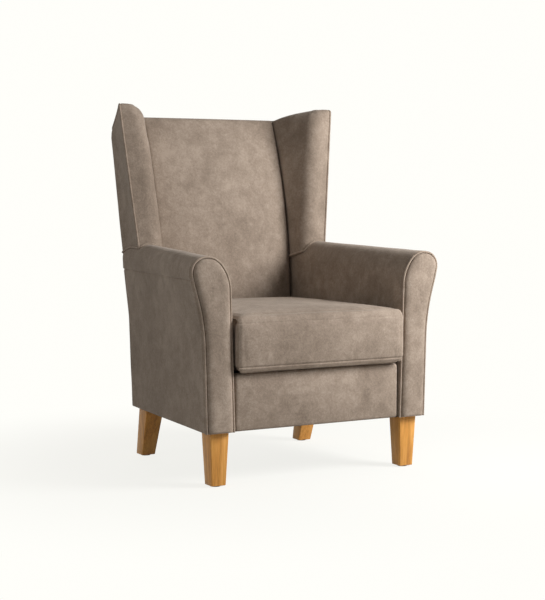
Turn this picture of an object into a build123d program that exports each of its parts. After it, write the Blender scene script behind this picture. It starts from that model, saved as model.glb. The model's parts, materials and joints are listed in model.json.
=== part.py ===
from build123d import *
import math
import os

# Wingback chair in millimetres. +Z is up, the chair faces -Y, the origin is on the floor in the middle
# of the chair's box. Pieces named right are on +X, as seen from the front.

# Overall size
OVERALL_WIDTH = 796.0
OVERALL_DEPTH = 740.0
OVERALL_HEIGHT = 1060.0
LEG_HEIGHT = 150.0
ARM_HEIGHT = 632.0
SEAT_HEIGHT = 466.0

# Seat well between the arms
SEAT_TAPER = 36.0
DECK_ABOVE_RAIL = 46.0
CUSHION_OVERHANG = 25.0

# Arm sections: the front one flares out into a roll, the rear one is nearly straight
ARM_REAR_FORWARD = 75.0
ARM_ROLL_OVERHANG = 42.5
ARM_BASE = 88.5
ARM_LEAN = 6.0
ARM_FLARE_BELOW_TOP = 252.0
ARM_NECK_BELOW_TOP = 106.0
ARM_NECK_INSIDE_ROLL = 13.0
ARM_ROLL_BELOW_TOP = 55.0
ARM_CREST_BELOW_TOP = 6.5
ARM_CREST_INSIDE_ROLL = 27.0
ARM_SHOULDER_BELOW_TOP = 23.0
ARM_SHOULDER_INWARD = 39.0
ARM_HIP_BELOW_TOP = 102.0
ARM_HIP_INWARD = 10.0
ARM_REAR_BASE = 77.5
ARM_REAR_RISE = 14.0
ARM_REAR_LEAN = 3.0
ARM_REAR_BULGE = 10.5
ARM_REAR_NECK_INSIDE_ROLL = 2.5
ARM_REAR_CREST_INSIDE_ROLL = 19.0
ARM_REAR_CREST_BELOW_TOP = 8.0
ARM_REAR_SHOULDER_INWARD = 17.0
ARM_REAR_SHOULDER_BELOW_TOP = 10.0
ARM_REAR_HIP_BELOW_TOP = 54.0
ARM_SEAM_BELOW_TOP = 67.0
PANEL_CROWN = 7.0
PANEL_CROWN_RUN = 16.0

# Back
BACK_BEND_FORWARD = 110.6409
BACK_LOWER_RECLINE = 2.9
BACK_BEND_HEIGHT = 420.0
BACK_BELOW_TIP = 32.0
BACK_DEPTH = 157.0
BACK_TOP_THICKNESS = 42.1
REARMOST_BELOW_TIP = 60.0
OUTSIDE_BACK_BELOW_TIP = 120.0
OUTSIDE_BACK_FLARE = 13.5
BACK_FACE_STRAIGHT_TO = 450.0
BACK_CROWN = 30.0
BACK_ROLL_FRONT = 18.0
BACK_ROLL_REAR = 22.0
BACK_TOP_CROWN = 10.0
BACK_SIDE_GAP = 0.5

# Wings
WING_FOOT_OUTWARD = 92.0
WING_FOOT_FORWARD = 207.0
WING_FOOT_ABOVE_ARM = 13.0
WING_TIP_OUTWARD = 134.5
WING_TIP_FORWARD = 171.0
WING_FOOT_THICKNESS = 84.0
WING_TIP_THICKNESS = 72.0
WING_ROLL_FORWARD = 19.0
WING_ROLL_RADIUS = 42.0
WING_HOLLOW = 6.0
WING_TOP_LEVEL_RUN = 12.0
WING_TOP_FALL = 15.0
WING_SHOULDER_BELOW_TIP = 75.0
WING_SHOULDER_FORWARD = 9.0
WING_SHOULDER_TURN = 38.0
WING_LOW_BELOW_FOOT = 57.0
WING_SPANS = 4
WING_COVER_TURN = 5.0

# Covers, welts and cushion
COVER = 2.0
WELT = 7.0
CUSHION_CROWN = 12.0
CUSHION_CORNER = 18.0
CUSHION_SIDE_BULGE = 2.0
CUSHION_SIDE_DRAW_IN = 3.0
CUSHION_SIDE_GAP = 3.5
CUSHION_BACK_GAP = 10.0
CUSHION_SPREAD = 5.5
CUSHION_SPREAD_TURN = 5.0
CUSHION_EDGE_INSET = 15.0
CUSHION_EDGE_STEPS = 3
CUSHION_BODY_STEPS = 6
CUSHION_EDGE_CROWN = 0.4
BORDER_SETBACK = 6.0
BORDER_THICKNESS = 22.0
BORDER_CORNER = 10.0
BORDER_EDGE = 6.0
BORDER_SIDE_GAP = 3.0
DUST_COVER = 1.5
BODY_GAP = 0.3

# Timber frame
RAIL_HEIGHT = 110.0
RAIL_THICKNESS = 25.0
SIDE_RAIL_PADDING = 10.0
FRONT_BOARD = 18.0
FRONT_BOARD_PADDING = 8.0
POST_WIDTH = 30.0
POST_DEPTH = 45.0
POST_INSET = 8.0
POST_BELOW_TIP = 100.0
BACK_RAIL_THICKNESS = 28.0
BACK_RAIL_HEIGHT = 58.0
LOWER_BACK_RAIL_BOTTOM = 430.0
REAR_PADDING = 4.0
ARM_RAIL_WIDTH = 30.0
ARM_RAIL_HEIGHT = 40.0
ARM_RAIL_BELOW_TOP = 40.0
WING_BOARD = 15.0
WING_BOARD_EDGE = 14.0
WING_BOARD_ABOVE_ARM = 22.0
WING_BOARD_BELOW_TIP = 45.0
CORNER_BLOCK = 64.0
CORNER_BLOCK_HEIGHT = 60.0

# Springs, felt, webbing
SPRING_COUNT = 4
SPRING_FROM_ARM = 69.0
SPRING_WIRE = 4.0
SPRING_PITCH = 24.0
SPRING_HALF_WIDTH = 16.0
CLIP_LENGTH = 20.0
CLIP_DEPTH = 14.0
CLIP_WALL = 2.0
WIRE_FIT = 0.1
FELT = 4.0
DECK_COVER = 2.0
STRAP_COUNT = 5
STRAP_WIDTH = 50.0
STRAP_FROM_ARM = 67.0
STRAP = 2.0

# Legs and their hardware
LEG_TOP_SIZE = 56.0
LEG_FOOT_SIZE = 43.0
LEG_HOLE_GAP = 1.0
FRONT_LEG_INWARD = 48.5
FRONT_LEG_SETBACK = 43.5
REAR_LEG_INWARD = 33.5
REAR_LEG_FORWARD = 190.0
REAR_LEG_RAKE = 45.0
GLIDE = 3.0
GLIDE_RADIUS = 14.0
BOLT_RADIUS = 4.0
BOLT_IN_LEG = 45.0
BOLT_INWARD = 8.0
BOLT_FIT = 0.1
TEE_NUT_FLANGE_RADIUS = 11.0
TEE_NUT_FLANGE = 2.0
TEE_NUT_BARREL_RADIUS = 6.0
TEE_NUT_BARREL = 16.0

# Cushion zip
ZIP_END_GAP = 45.0
ZIP_TAPE_HEIGHT = 24.0
ZIP_TAPE = 1.2
ZIP_COIL_HEIGHT = 5.0
ZIP_COIL = 1.8
SLIDER_LENGTH = 12.0
SLIDER_WALL = 1.4
SLIDER_FIT = 0.3
PULL_LENGTH = 22.0
PULL_WIDTH = 5.0
PULL_THICKNESS = 1.2

# Places that follow from the sizes above
FRONT = -OVERALL_DEPTH / 2 + CUSHION_OVERHANG
BACK_REAR = OVERALL_DEPTH / 2
FRAME_BOTTOM = LEG_HEIGHT + COVER
RAIL_TOP = FRAME_BOTTOM + RAIL_HEIGHT
DECK_HEIGHT = RAIL_TOP + DECK_ABOVE_RAIL
SPRING_LEVEL = RAIL_TOP + CLIP_WALL + SPRING_WIRE / 2
FELT_BOTTOM = SPRING_LEVEL + SPRING_WIRE / 2 + CLIP_WALL
ARM_FRONT = FRONT + WELT
ARM_REAR = BACK_REAR - ARM_REAR_FORWARD
ARM_OUTER_FRONT = OVERALL_WIDTH / 2 - ARM_ROLL_OVERHANG
ARM_INNER_FRONT = ARM_OUTER_FRONT - ARM_BASE
ARM_INNER_REAR = ARM_INNER_FRONT - SEAT_TAPER
ARM_OUTER_REAR = ARM_INNER_REAR + ARM_REAR_BASE
BACK_HEIGHT = OVERALL_HEIGHT - BACK_BELOW_TIP
REARMOST_HEIGHT = OVERALL_HEIGHT - REARMOST_BELOW_TIP
BACK_RECLINE = math.degrees(math.atan(BACK_BEND_FORWARD / (REARMOST_HEIGHT - BACK_BEND_HEIGHT)))
OUTSIDE_BACK_TOP = OVERALL_HEIGHT - OUTSIDE_BACK_BELOW_TIP
POST_TOP = OVERALL_HEIGHT - POST_BELOW_TIP
WING_FOOT_HEIGHT = ARM_HEIGHT + WING_FOOT_ABOVE_ARM
WING_SHOULDER_HEIGHT = OVERALL_HEIGHT - WING_SHOULDER_BELOW_TIP
BOARD_REAR = ARM_FRONT + FRONT_BOARD
BORDER_FRONT = FRONT + BORDER_SETBACK
FRONT_RAIL_FRONT = BORDER_FRONT + BORDER_THICKNESS
CREASE = BACK_REAR - BACK_DEPTH
POST_INNER = ARM_INNER_REAR + POST_INSET
FAR = OVERALL_WIDTH


def rear_face(z):
    """Y of the outside of the back at height z."""
    upper_slope = math.tan(math.radians(BACK_RECLINE))
    lower_slope = math.tan(math.radians(BACK_LOWER_RECLINE))
    bend = BACK_REAR - upper_slope * (REARMOST_HEIGHT - max(z, BACK_BEND_HEIGHT))
    return bend - lower_slope * max(BACK_BEND_HEIGHT - z, 0)


def rear_half_width(z):
    """Half width of the outside of the back at height z."""
    share = (z - LEG_HEIGHT) / (OUTSIDE_BACK_TOP - LEG_HEIGHT)
    return ARM_OUTER_REAR + share * OUTSIDE_BACK_FLARE


def back_face(z):
    """Y of the crease between the inside back and the wing: upright, then an arc, then along the rear."""
    top = rear_face(BACK_HEIGHT) - BACK_TOP_THICKNESS
    sweep_back = top - CREASE
    full_rise = BACK_HEIGHT - BACK_FACE_STRAIGHT_TO
    radius = (sweep_back ** 2 + full_rise ** 2) / (2 * sweep_back)
    rise = min(max(z - BACK_FACE_STRAIGHT_TO, 0), full_rise)
    above = rear_face(max(z, BACK_HEIGHT)) - rear_face(BACK_HEIGHT)
    return CREASE + radius - math.sqrt(radius ** 2 - rise ** 2) + above


def along_arm(y):
    """Share of the way from the arm's front section to its rear section."""
    return (y - ARM_FRONT) / (ARM_REAR - ARM_FRONT)


def arm_inner(y, z):
    """X of the inner face of the arm, below its roll."""
    climb_front = ARM_HIP_INWARD * (z - LEG_HEIGHT) / (ARM_HEIGHT - ARM_HIP_BELOW_TOP - LEG_HEIGHT)
    front = ARM_INNER_FRONT + climb_front
    return front + along_arm(y) * (ARM_INNER_REAR - front)


def arm_outer(y):
    """X of the outer face of the arm at its lower edge."""
    return ARM_OUTER_FRONT + along_arm(y) * (ARM_OUTER_REAR - ARM_OUTER_FRONT)


def wing_edge(z):
    """Plan place of the wing's piped front edge at height z."""
    share = (z - WING_FOOT_HEIGHT) / (OVERALL_HEIGHT - WING_FOOT_HEIGHT)
    x = ARM_INNER_REAR + WING_FOOT_OUTWARD + share * (WING_TIP_OUTWARD - WING_FOOT_OUTWARD)
    y = BACK_REAR - WING_FOOT_FORWARD - share * (WING_TIP_FORWARD - WING_FOOT_FORWARD)
    return Vector(x, y)


def at_x(x, sketch):
    """Sketch drawn in (y, z), set at x."""
    return Pos(x, 0, 0) * (Plane.YZ * sketch)


def at_y(y, sketch):
    """Sketch drawn in (x, z), set at y."""
    return Pos(0, y, 0) * (Plane.XZ * sketch)


def at_z(z, sketch):
    """Sketch drawn in (x, y), set at height z."""
    return Pos(0, 0, z) * sketch


def inward(face, amount):
    """The same face with its outline moved in."""
    return offset(face, amount=-amount, kind=Kind.INTERSECTION) if amount else face


def prism_x(points, low, high):
    """Solid from a polygon in (y, z) between two values of x."""
    return extrude(at_x(low, make_face(Polyline(*points, close=True))), amount=high - low, dir=(1, 0, 0))


def prism_z(points, low, high):
    """Solid from a polygon in (x, y) between two heights."""
    return extrude(at_z(low, make_face(Polyline(*points, close=True))), amount=high - low, dir=(0, 0, 1))


def block(low, high):
    """Box between two corners."""
    size = [b - a for a, b in zip(low, high)]
    return Pos(*low) * Box(*size, align=(Align.MIN, Align.MIN, Align.MIN))


def without(solid, tools):
    """The solid with each tool cut out of it."""
    for tool in tools:
        solid = solid - tool
    return solid


def both_sides(solid):
    """The right-hand solid and its mirror image on the left."""
    return {"right": solid, "left": mirror(solid, about=Plane.YZ)}


def chained_outline(start, first_end, knots, last_end):
    """Closed outline: a line, tangent arcs through the knots, a line back to the start level, the base."""
    edges = [Line(start, first_end)]
    here = first_end
    for knot in knots:
        edges.append(TangentArc(here, knot, tangent=edges[-1] % 1))
        here = knot
    edges.append(Line(here, last_end))
    edges.append(Line(last_end, start))
    return make_face(edges)


def arm_front_outline(base):
    """Front section of the right arm in (x, z), down to the base height."""
    roll = OVERALL_WIDTH / 2
    knots = [
        (roll - ARM_NECK_INSIDE_ROLL, ARM_HEIGHT - ARM_NECK_BELOW_TOP),
        (roll, ARM_HEIGHT - ARM_ROLL_BELOW_TOP),
        (roll - ARM_CREST_INSIDE_ROLL, ARM_HEIGHT - ARM_CREST_BELOW_TOP),
        (ARM_INNER_FRONT + ARM_SHOULDER_INWARD, ARM_HEIGHT - ARM_SHOULDER_BELOW_TOP),
        (ARM_INNER_FRONT + ARM_HIP_INWARD, ARM_HEIGHT - ARM_HIP_BELOW_TOP),
    ]
    foot = (ARM_OUTER_FRONT, base)
    flare = (ARM_OUTER_FRONT + ARM_LEAN, ARM_HEIGHT - ARM_FLARE_BELOW_TOP)
    return chained_outline(foot, flare, knots, (ARM_INNER_FRONT, base))


def arm_rear_outline():
    """Rear section of the right arm in (x, z)."""
    roll = ARM_OUTER_REAR + ARM_REAR_BULGE
    top = ARM_HEIGHT + ARM_REAR_RISE
    knots = [
        (roll - ARM_REAR_NECK_INSIDE_ROLL, top - ARM_NECK_BELOW_TOP),
        (roll, top - ARM_ROLL_BELOW_TOP),
        (roll - ARM_REAR_CREST_INSIDE_ROLL, top - ARM_REAR_CREST_BELOW_TOP),
        (ARM_INNER_REAR + ARM_REAR_SHOULDER_INWARD, top - ARM_REAR_SHOULDER_BELOW_TOP),
        (ARM_INNER_REAR, top - ARM_REAR_HIP_BELOW_TOP),
    ]
    foot = (ARM_OUTER_REAR, LEG_HEIGHT)
    flare = (ARM_OUTER_REAR + ARM_REAR_LEAN, ARM_HEIGHT - ARM_FLARE_BELOW_TOP)
    return chained_outline(foot, flare, knots, (ARM_INNER_REAR, LEG_HEIGHT))


def behind_back(clearance):
    """Everything behind the outside of the back, moved forward by the clearance."""
    high = OVERALL_HEIGHT + LEG_HEIGHT
    heights = (0, BACK_BEND_HEIGHT, high)
    points = [(rear_face(z) - clearance, z) for z in heights]
    return prism_x(points + [(FAR, high), (FAR, 0)], -FAR, FAR)


def underside(clearance):
    """Space of the dust cover, kept clear inside the covers."""
    front = BORDER_FRONT + COVER + clearance
    rear = rear_face(LEG_HEIGHT) - COVER - clearance
    right = [(arm_outer(front) - COVER - clearance, front), (arm_outer(rear) - COVER - clearance, rear)]
    left = [(-x, y) for x, y in reversed(right)]
    return prism_z(right + left, LEG_HEIGHT, FRAME_BOTTOM)


def arm_block(inset):
    """Right arm between its front panel and the outside back, with its outline moved in."""
    sections = [
        at_y(ARM_FRONT, inward(arm_front_outline(LEG_HEIGHT), inset)),
        at_y(ARM_REAR, inward(arm_rear_outline(), inset)),
    ]
    return loft(sections, ruled=True) - behind_back(COVER)


def outer_half_of_arm():
    """Everything outside the middle of the right arm, below the seam of its outer cover."""
    middle_front = (ARM_INNER_FRONT + ARM_OUTER_FRONT) / 2
    middle_rear = (ARM_INNER_REAR + ARM_OUTER_REAR) / 2
    points = [(middle_front, FRONT), (FAR, FRONT), (FAR, ARM_REAR), (middle_rear, ARM_REAR)]
    return prism_z(points, 0, ARM_HEIGHT - ARM_SEAM_BELOW_TOP)


def front_panel_outline(inset):
    """Front section of the right arm, moved in at its sides and top but not at its base."""
    return inward(arm_front_outline(LEG_HEIGHT - inset), inset)


def arm_front_panel():
    """Padded panel on the front of the right arm, inside its welt."""
    sections = [
        at_y(ARM_FRONT, front_panel_outline(WELT)),
        at_y(FRONT + COVER, front_panel_outline(WELT)),
        at_y(FRONT - PANEL_CROWN, front_panel_outline(WELT + PANEL_CROWN_RUN)),
    ]
    return loft(sections, ruled=True)


def arm_front_welt():
    """Piping round the front panel of the right arm, open along the base."""
    outline = at_y(FRONT + WELT / 2, front_panel_outline(WELT / 2))
    path = Wire(outline.edges().sort_by(Axis.Z)[1:])
    section = Plane(path @ 0, z_dir=path % 0) * Circle(WELT / 2 - WIRE_FIT)
    return sweep(section, path=path)


def arm_front_board():
    """Plywood board behind the front panel of the right arm, standing on the frame's underside."""
    inset = COVER + FRONT_BOARD_PADDING
    outline = inward(arm_front_outline(FRAME_BOTTOM - inset), inset)
    return extrude(at_y(ARM_FRONT, outline), amount=FRONT_BOARD, dir=(0, 1, 0))


def side_rail_face(y):
    """X of the inner face of the right side rail."""
    return arm_outer(y) - COVER - SIDE_RAIL_PADDING - RAIL_THICKNESS


def side_rail():
    """Right side rail of the seat frame, along the outer face of the arm."""
    rear = rear_face(FRAME_BOTTOM) - COVER - REAR_PADDING
    inner = [(side_rail_face(y), y) for y in (BOARD_REAR, rear)]
    outer = [(x + RAIL_THICKNESS, y) for x, y in reversed(inner)]
    return prism_z(inner + outer, FRAME_BOTTOM, RAIL_TOP)


def sloped_member(low, high, rear_gap, thickness, inner, outer):
    """Board whose rear face runs parallel to the outside back, between two heights."""
    heights = [low, BACK_BEND_HEIGHT, high] if low < BACK_BEND_HEIGHT < high else [low, high]
    rear = [(rear_face(z) - rear_gap, z) for z in heights]
    front = [(y - thickness, z) for y, z in reversed(rear)]
    return prism_x(rear + front, inner, outer)


def back_post():
    """Right back post, from the seat frame to the top rail."""
    return sloped_member(FRAME_BOTTOM, POST_TOP, COVER + REAR_PADDING, POST_DEPTH,
                         POST_INNER, POST_INNER + POST_WIDTH)


def cross_rail(low, high):
    """Rail between the back posts."""
    return sloped_member(low, high, COVER + REAR_PADDING, BACK_RAIL_THICKNESS, -POST_INNER, POST_INNER)


def arm_rail():
    """Right top rail of the arm, from the front board to the back post."""
    front_z = ARM_HEIGHT - ARM_RAIL_BELOW_TOP
    front_x = (ARM_INNER_FRONT + ARM_OUTER_FRONT) / 2 + POST_WIDTH
    rear_x = POST_INNER + POST_WIDTH / 2
    rear_y = rear_face(front_z) - COVER - REAR_PADDING - POST_DEPTH / 2
    section = Rectangle(ARM_RAIL_WIDTH, ARM_RAIL_HEIGHT)
    front = at_y(BOARD_REAR, Pos(front_x, front_z) * section)
    rear = at_y(rear_y, Pos(rear_x, front_z) * section)
    return loft([front, rear], ruled=True) - back_post()


def front_rail():
    """Front seat rail between the corner blocks."""
    half = right_legs()["front"]["x"] - CORNER_BLOCK / 2
    rear = FRONT_RAIL_FRONT + RAIL_THICKNESS
    return block((-half, FRONT_RAIL_FRONT, FRAME_BOTTOM), (half, rear, RAIL_TOP))


def corner_block(leg):
    """Hardwood block over a leg, against the inner face of the side rail."""
    inner = leg["x"] - CORNER_BLOCK / 2
    front = max(leg["y"] - CORNER_BLOCK / 2, BOARD_REAR)
    rear = leg["y"] + CORNER_BLOCK / 2
    points = [(inner, front), (side_rail_face(front), front), (side_rail_face(rear), rear), (inner, rear)]
    solid = prism_z(points, FRAME_BOTTOM, FRAME_BOTTOM + CORNER_BLOCK_HEIGHT)
    return without(solid, [back_post(), bolt_space(leg)])


def upright(radius, height):
    """Upright cylinder standing on its origin."""
    return Cylinder(radius, height, align=(Align.CENTER, Align.CENTER, Align.MIN))


def right_legs():
    """Plan places of the right-hand legs at their tops, and the rake of their feet."""
    front = {"x": ARM_OUTER_FRONT - FRONT_LEG_INWARD, "y": FRONT + FRONT_LEG_SETBACK, "rake": 0.0}
    rear = {"x": ARM_OUTER_REAR - REAR_LEG_INWARD, "y": BACK_REAR - REAR_LEG_FORWARD, "rake": REAR_LEG_RAKE}
    return {"front": front, "rear": rear}


def over_bolt(leg, z):
    """Place on the bolt's axis, a little inward of the middle of the leg, at height z."""
    return Pos(leg["x"] - BOLT_INWARD, leg["y"], z)


def bolt_space(leg):
    """Hole through the corner block and the recess above it for the tee nut's flange."""
    top = FRAME_BOTTOM + CORNER_BLOCK_HEIGHT
    hole = over_bolt(leg, FRAME_BOTTOM) * upright(TEE_NUT_BARREL_RADIUS, CORNER_BLOCK_HEIGHT)
    return hole + over_bolt(leg, top) * upright(TEE_NUT_FLANGE_RADIUS, TEE_NUT_FLANGE)


def bolt(leg, clearance):
    """Hanger bolt from the leg up into its tee nut."""
    length = BOLT_IN_LEG + CORNER_BLOCK_HEIGHT
    return over_bolt(leg, FRAME_BOTTOM - BOLT_IN_LEG) * upright(BOLT_RADIUS + clearance, length)


def tee_nut(leg):
    """Flanged nut let into the top of the corner block."""
    top = FRAME_BOTTOM + CORNER_BLOCK_HEIGHT
    flange = over_bolt(leg, top) * upright(TEE_NUT_FLANGE_RADIUS - BOLT_FIT, TEE_NUT_FLANGE)
    barrel = over_bolt(leg, top - TEE_NUT_BARREL) * upright(TEE_NUT_BARREL_RADIUS - BOLT_FIT, TEE_NUT_BARREL)
    return flange + barrel - bolt(leg, BOLT_FIT)


def leg_solid(leg):
    """Square leg tapering to its foot, bored for its bolt."""
    top = at_z(FRAME_BOTTOM, Pos(leg["x"], leg["y"]) * Rectangle(LEG_TOP_SIZE, LEG_TOP_SIZE))
    foot_place = Pos(leg["x"], leg["y"] + leg["rake"])
    foot = at_z(GLIDE, foot_place * Rectangle(LEG_FOOT_SIZE, LEG_FOOT_SIZE))
    return loft([foot, top], ruled=True) - bolt(leg, BOLT_FIT)


def glide(leg):
    """Plastic floor glide under a leg."""
    return Pos(leg["x"], leg["y"] + leg["rake"], 0) * upright(GLIDE_RADIUS, GLIDE)


def leg_hole(leg):
    """Opening in the dust cover for a leg."""
    reach = LEG_TOP_SIZE / 2 + LEG_HOLE_GAP
    return block((leg["x"] - reach, leg["y"] - reach, 0), (leg["x"] + reach, leg["y"] + reach, FRAME_BOTTOM))


def wing_plan(z):
    """Plan of the right wing at height z: crease, inner face, front roll, outer face."""
    inner = ARM_INNER_REAR
    rear = rear_face(z)
    edge = wing_edge(z)
    share = (z - WING_FOOT_HEIGHT) / (OVERALL_HEIGHT - WING_FOOT_HEIGHT)
    thickness = WING_FOOT_THICKNESS + share * (WING_TIP_THICKNESS - WING_FOOT_THICKNESS)
    corner = edge - Vector(thickness, WING_ROLL_FORWARD)
    crease = Vector(inner, back_face(z))
    to_crease = (crease - corner).normalized()
    to_edge = (edge - corner).normalized()
    half_angle = math.radians(to_crease.get_angle(to_edge)) / 2
    run = WING_ROLL_RADIUS / math.tan(half_angle)
    to_middle = WING_ROLL_RADIUS / math.sin(half_angle) - WING_ROLL_RADIUS
    middle = (to_crease + to_edge).normalized() * to_middle
    outer = Vector(rear_half_width(z), rear)
    hollow = (edge + outer) * 0.5 - Vector(WING_HOLLOW, 0)
    return make_face([
        Line((inner, rear), crease),
        Line(crease, corner + to_crease * run),
        ThreePointArc(corner + to_crease * run, corner + middle, corner + to_edge * run),
        Line(corner + to_edge * run, edge),
        ThreePointArc(edge, hollow, outer),
        Line(outer, (inner, rear)),
    ])


def wing_levels():
    """Heights of the wing's plan sections, from inside the arm to above the tip."""
    low = WING_FOOT_HEIGHT - WING_LOW_BELOW_FOOT
    high = OVERALL_HEIGHT + WELT
    return [low + (high - low) * step / WING_SPANS for step in range(WING_SPANS + 1)]


def under_wing_top(drop):
    """Everything below the curved top edge of the wings, lowered by the drop."""
    top = OVERALL_HEIGHT - drop
    tip = (BACK_REAR - WING_TIP_FORWARD + WING_TOP_LEVEL_RUN, top)
    shoulder_z = WING_SHOULDER_HEIGHT - drop
    shoulder = (rear_face(WING_SHOULDER_HEIGHT) - WING_SHOULDER_FORWARD, shoulder_z)
    low = shoulder_z - WING_SHOULDER_TURN
    rear = (rear_face(low), low)
    fall = math.radians(WING_TOP_FALL)
    slope = TangentArc(tip, shoulder, tangent=(math.cos(fall), -math.sin(fall)))
    turn = TangentArc(shoulder, rear, tangent=slope % 1)
    edges = [
        Line((FRONT, 0), (FRONT, top)),
        Line((FRONT, top), tip),
        slope,
        turn,
        Line(rear, (FAR, 0)),
        Line((FAR, 0), (FRONT, 0)),
    ]
    return extrude(at_x(0, make_face(edges)), amount=FAR, dir=(1, 0, 0))


def wing_block(inset):
    """Right wing above the arm, with its faces moved in."""
    sections = [at_z(z, inward(wing_plan(z), inset)) for z in wing_levels()]
    solid = loft(sections) & under_wing_top(inset)
    return solid - arm_block(0) - behind_back(COVER)


def wing_outer_slab():
    """Reach of the outer cover of the right wing, with its turn round the edges."""
    sections = []
    for z in wing_levels():
        edge = wing_edge(z)
        outer = Vector(rear_half_width(z), rear_face(z))
        hollow = (edge + outer) * 0.5 - Vector(WING_HOLLOW, 0)
        shift = Vector(WING_COVER_TURN, 0)
        face = make_face([
            ThreePointArc(edge, hollow, outer),
            Line(outer, outer - shift),
            ThreePointArc(outer - shift, hollow - shift, edge - shift),
            Line(edge - shift, edge),
        ])
        sections.append(at_z(z, face))
    return loft(sections)


def wing_welt(radius):
    """Piping along the front edge of the right wing."""
    tip_z = OVERALL_HEIGHT - WELT
    foot = wing_edge(WING_FOOT_HEIGHT)
    tip = wing_edge(tip_z)
    path = Line((foot.X, foot.Y, WING_FOOT_HEIGHT), (tip.X, tip.Y, tip_z))
    return sweep(Plane(path @ 0, z_dir=path % 0) * Circle(radius), path=path)


def wing_board():
    """Plywood board inside the right wing, fixed to the back post."""
    inner = POST_INNER + POST_WIDTH
    sections = []
    for z in (ARM_HEIGHT + WING_BOARD_ABOVE_ARM, OVERALL_HEIGHT - WING_BOARD_BELOW_TIP):
        edge = wing_edge(z)
        rear = rear_face(min(z, POST_TOP)) - COVER - REAR_PADDING
        front = (edge.X - WING_BOARD_EDGE, edge.Y + WING_BOARD_EDGE)
        points = [(inner, rear), (inner + WING_BOARD, rear), front, (front[0] - WING_BOARD, front[1])]
        sections.append(at_z(z, make_face(Polyline(*points, close=True))))
    return loft(sections, ruled=True) & under_wing_top(WING_BOARD_BELOW_TIP)


def back_profile(x, inset):
    """Side profile of the back at x, with the crown of its face, in (y, z)."""
    share = 1 - (x / (ARM_INNER_REAR - BACK_SIDE_GAP)) ** 2
    crown = BACK_CROWN * share
    top_crown = BACK_TOP_CROWN * share
    top = BACK_HEIGHT - inset
    middle = (BACK_FACE_STRAIGHT_TO + top) / 2
    face_low = (CREASE - crown + inset, DECK_HEIGHT)
    face_straight = (CREASE - crown + inset, BACK_FACE_STRAIGHT_TO)
    face_middle = (back_face(middle) - (crown + top_crown) / 2 + inset, middle)
    face_top = (back_face(top) - top_crown + inset, top)
    rear_top = (rear_face(top) - inset, top)
    rear_low = (rear_top[0] - (top - DECK_HEIGHT) * math.tan(math.radians(BACK_RECLINE)), DECK_HEIGHT)
    outline = make_face([
        Line(face_low, face_straight),
        ThreePointArc(face_straight, face_middle, face_top),
        Line(face_top, rear_top),
        Line(rear_top, rear_low),
        Line(rear_low, face_low),
    ])
    top_corners = outline.vertices().group_by(Axis.Y)[-1].sort_by(Axis.X)
    outline = fillet(top_corners[0], BACK_ROLL_FRONT - inset)
    top_corners = outline.vertices().group_by(Axis.Y)[-1].sort_by(Axis.X)
    return fillet(top_corners[-1], BACK_ROLL_REAR - inset)


def back_block(inset):
    """Crowned back between the wings, with its faces moved in."""
    half = ARM_INNER_REAR - BACK_SIDE_GAP
    places = [-half, -half / 2, 0, half / 2, half]
    return loft([at_x(x, back_profile(x, inset)) for x in places])


def behind_webbing():
    """Hollow of the back, behind the webbing and below the outer cover's top edge."""
    gap = COVER + REAR_PADDING + BACK_RAIL_THICKNESS + STRAP
    low, high = DECK_HEIGHT - FELT, OUTSIDE_BACK_TOP
    slope = math.tan(math.radians(BACK_RECLINE))
    top_y = rear_face(high) - gap
    return prism_x([(top_y, high), (top_y - slope * (high - low), low), (FAR, low), (FAR, high)], -FAR, FAR)


def outside_back():
    """Flat cover over the back of the frame, from the underside to the top roll."""
    heights = (LEG_HEIGHT, BACK_BEND_HEIGHT, OUTSIDE_BACK_TOP)
    sections = []
    for z in heights:
        half = rear_half_width(z)
        y = rear_face(z)
        points = [(-half, y - COVER), (half, y - COVER), (half, y), (-half, y)]
        sections.append(at_z(z, make_face(Polyline(*points, close=True))))
    return loft(sections, ruled=True)


def back_straps():
    """Upright webbing straps on the front of the back rails."""
    low = LOWER_BACK_RAIL_BOTTOM
    gap = COVER + REAR_PADDING + BACK_RAIL_THICKNESS
    places = spread_places(ARM_INNER_REAR - STRAP_FROM_ARM, STRAP_COUNT)
    half = STRAP_WIDTH / 2
    return [sloped_member(low, POST_TOP, gap, STRAP, x - half, x + half) for x in places]


def spread_places(half, count):
    """Evenly spread values of x between the two sides."""
    return [-half + 2 * half * index / (count - 1) for index in range(count)]


def spring_places():
    """X of each seat spring."""
    return spread_places(ARM_INNER_REAR - SPRING_FROM_ARM, SPRING_COUNT)


def spring_run():
    """First and last cross bar of a spring along Y, a whole number of pitches apart."""
    start = FRONT_RAIL_FRONT + RAIL_THICKNESS / 2
    room = rear_face(RAIL_TOP) - COVER - REAR_PADDING - BACK_RAIL_THICKNESS / 2 - start
    bars = math.floor(room / SPRING_PITCH)
    return start, bars


def seat_spring(x):
    """Zigzag spring wire lying between the front and rear rails."""
    start, bars = spring_run()
    edges = []
    side = 1
    for bar in range(bars + 1):
        y = start + bar * SPRING_PITCH
        near = (x - side * SPRING_HALF_WIDTH, y, SPRING_LEVEL)
        far = (x + side * SPRING_HALF_WIDTH, y, SPRING_LEVEL)
        edges.append(Line(near, far))
        if bar < bars:
            bend = (x + side * (SPRING_HALF_WIDTH + SPRING_PITCH / 2), y + SPRING_PITCH / 2, SPRING_LEVEL)
            edges.append(ThreePointArc(far, bend, (far[0], y + SPRING_PITCH, SPRING_LEVEL)))
        side = -side
    path = Wire(edges)
    return sweep(Plane(path @ 0, z_dir=path % 0) * Circle(SPRING_WIRE / 2), path=path)


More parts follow.
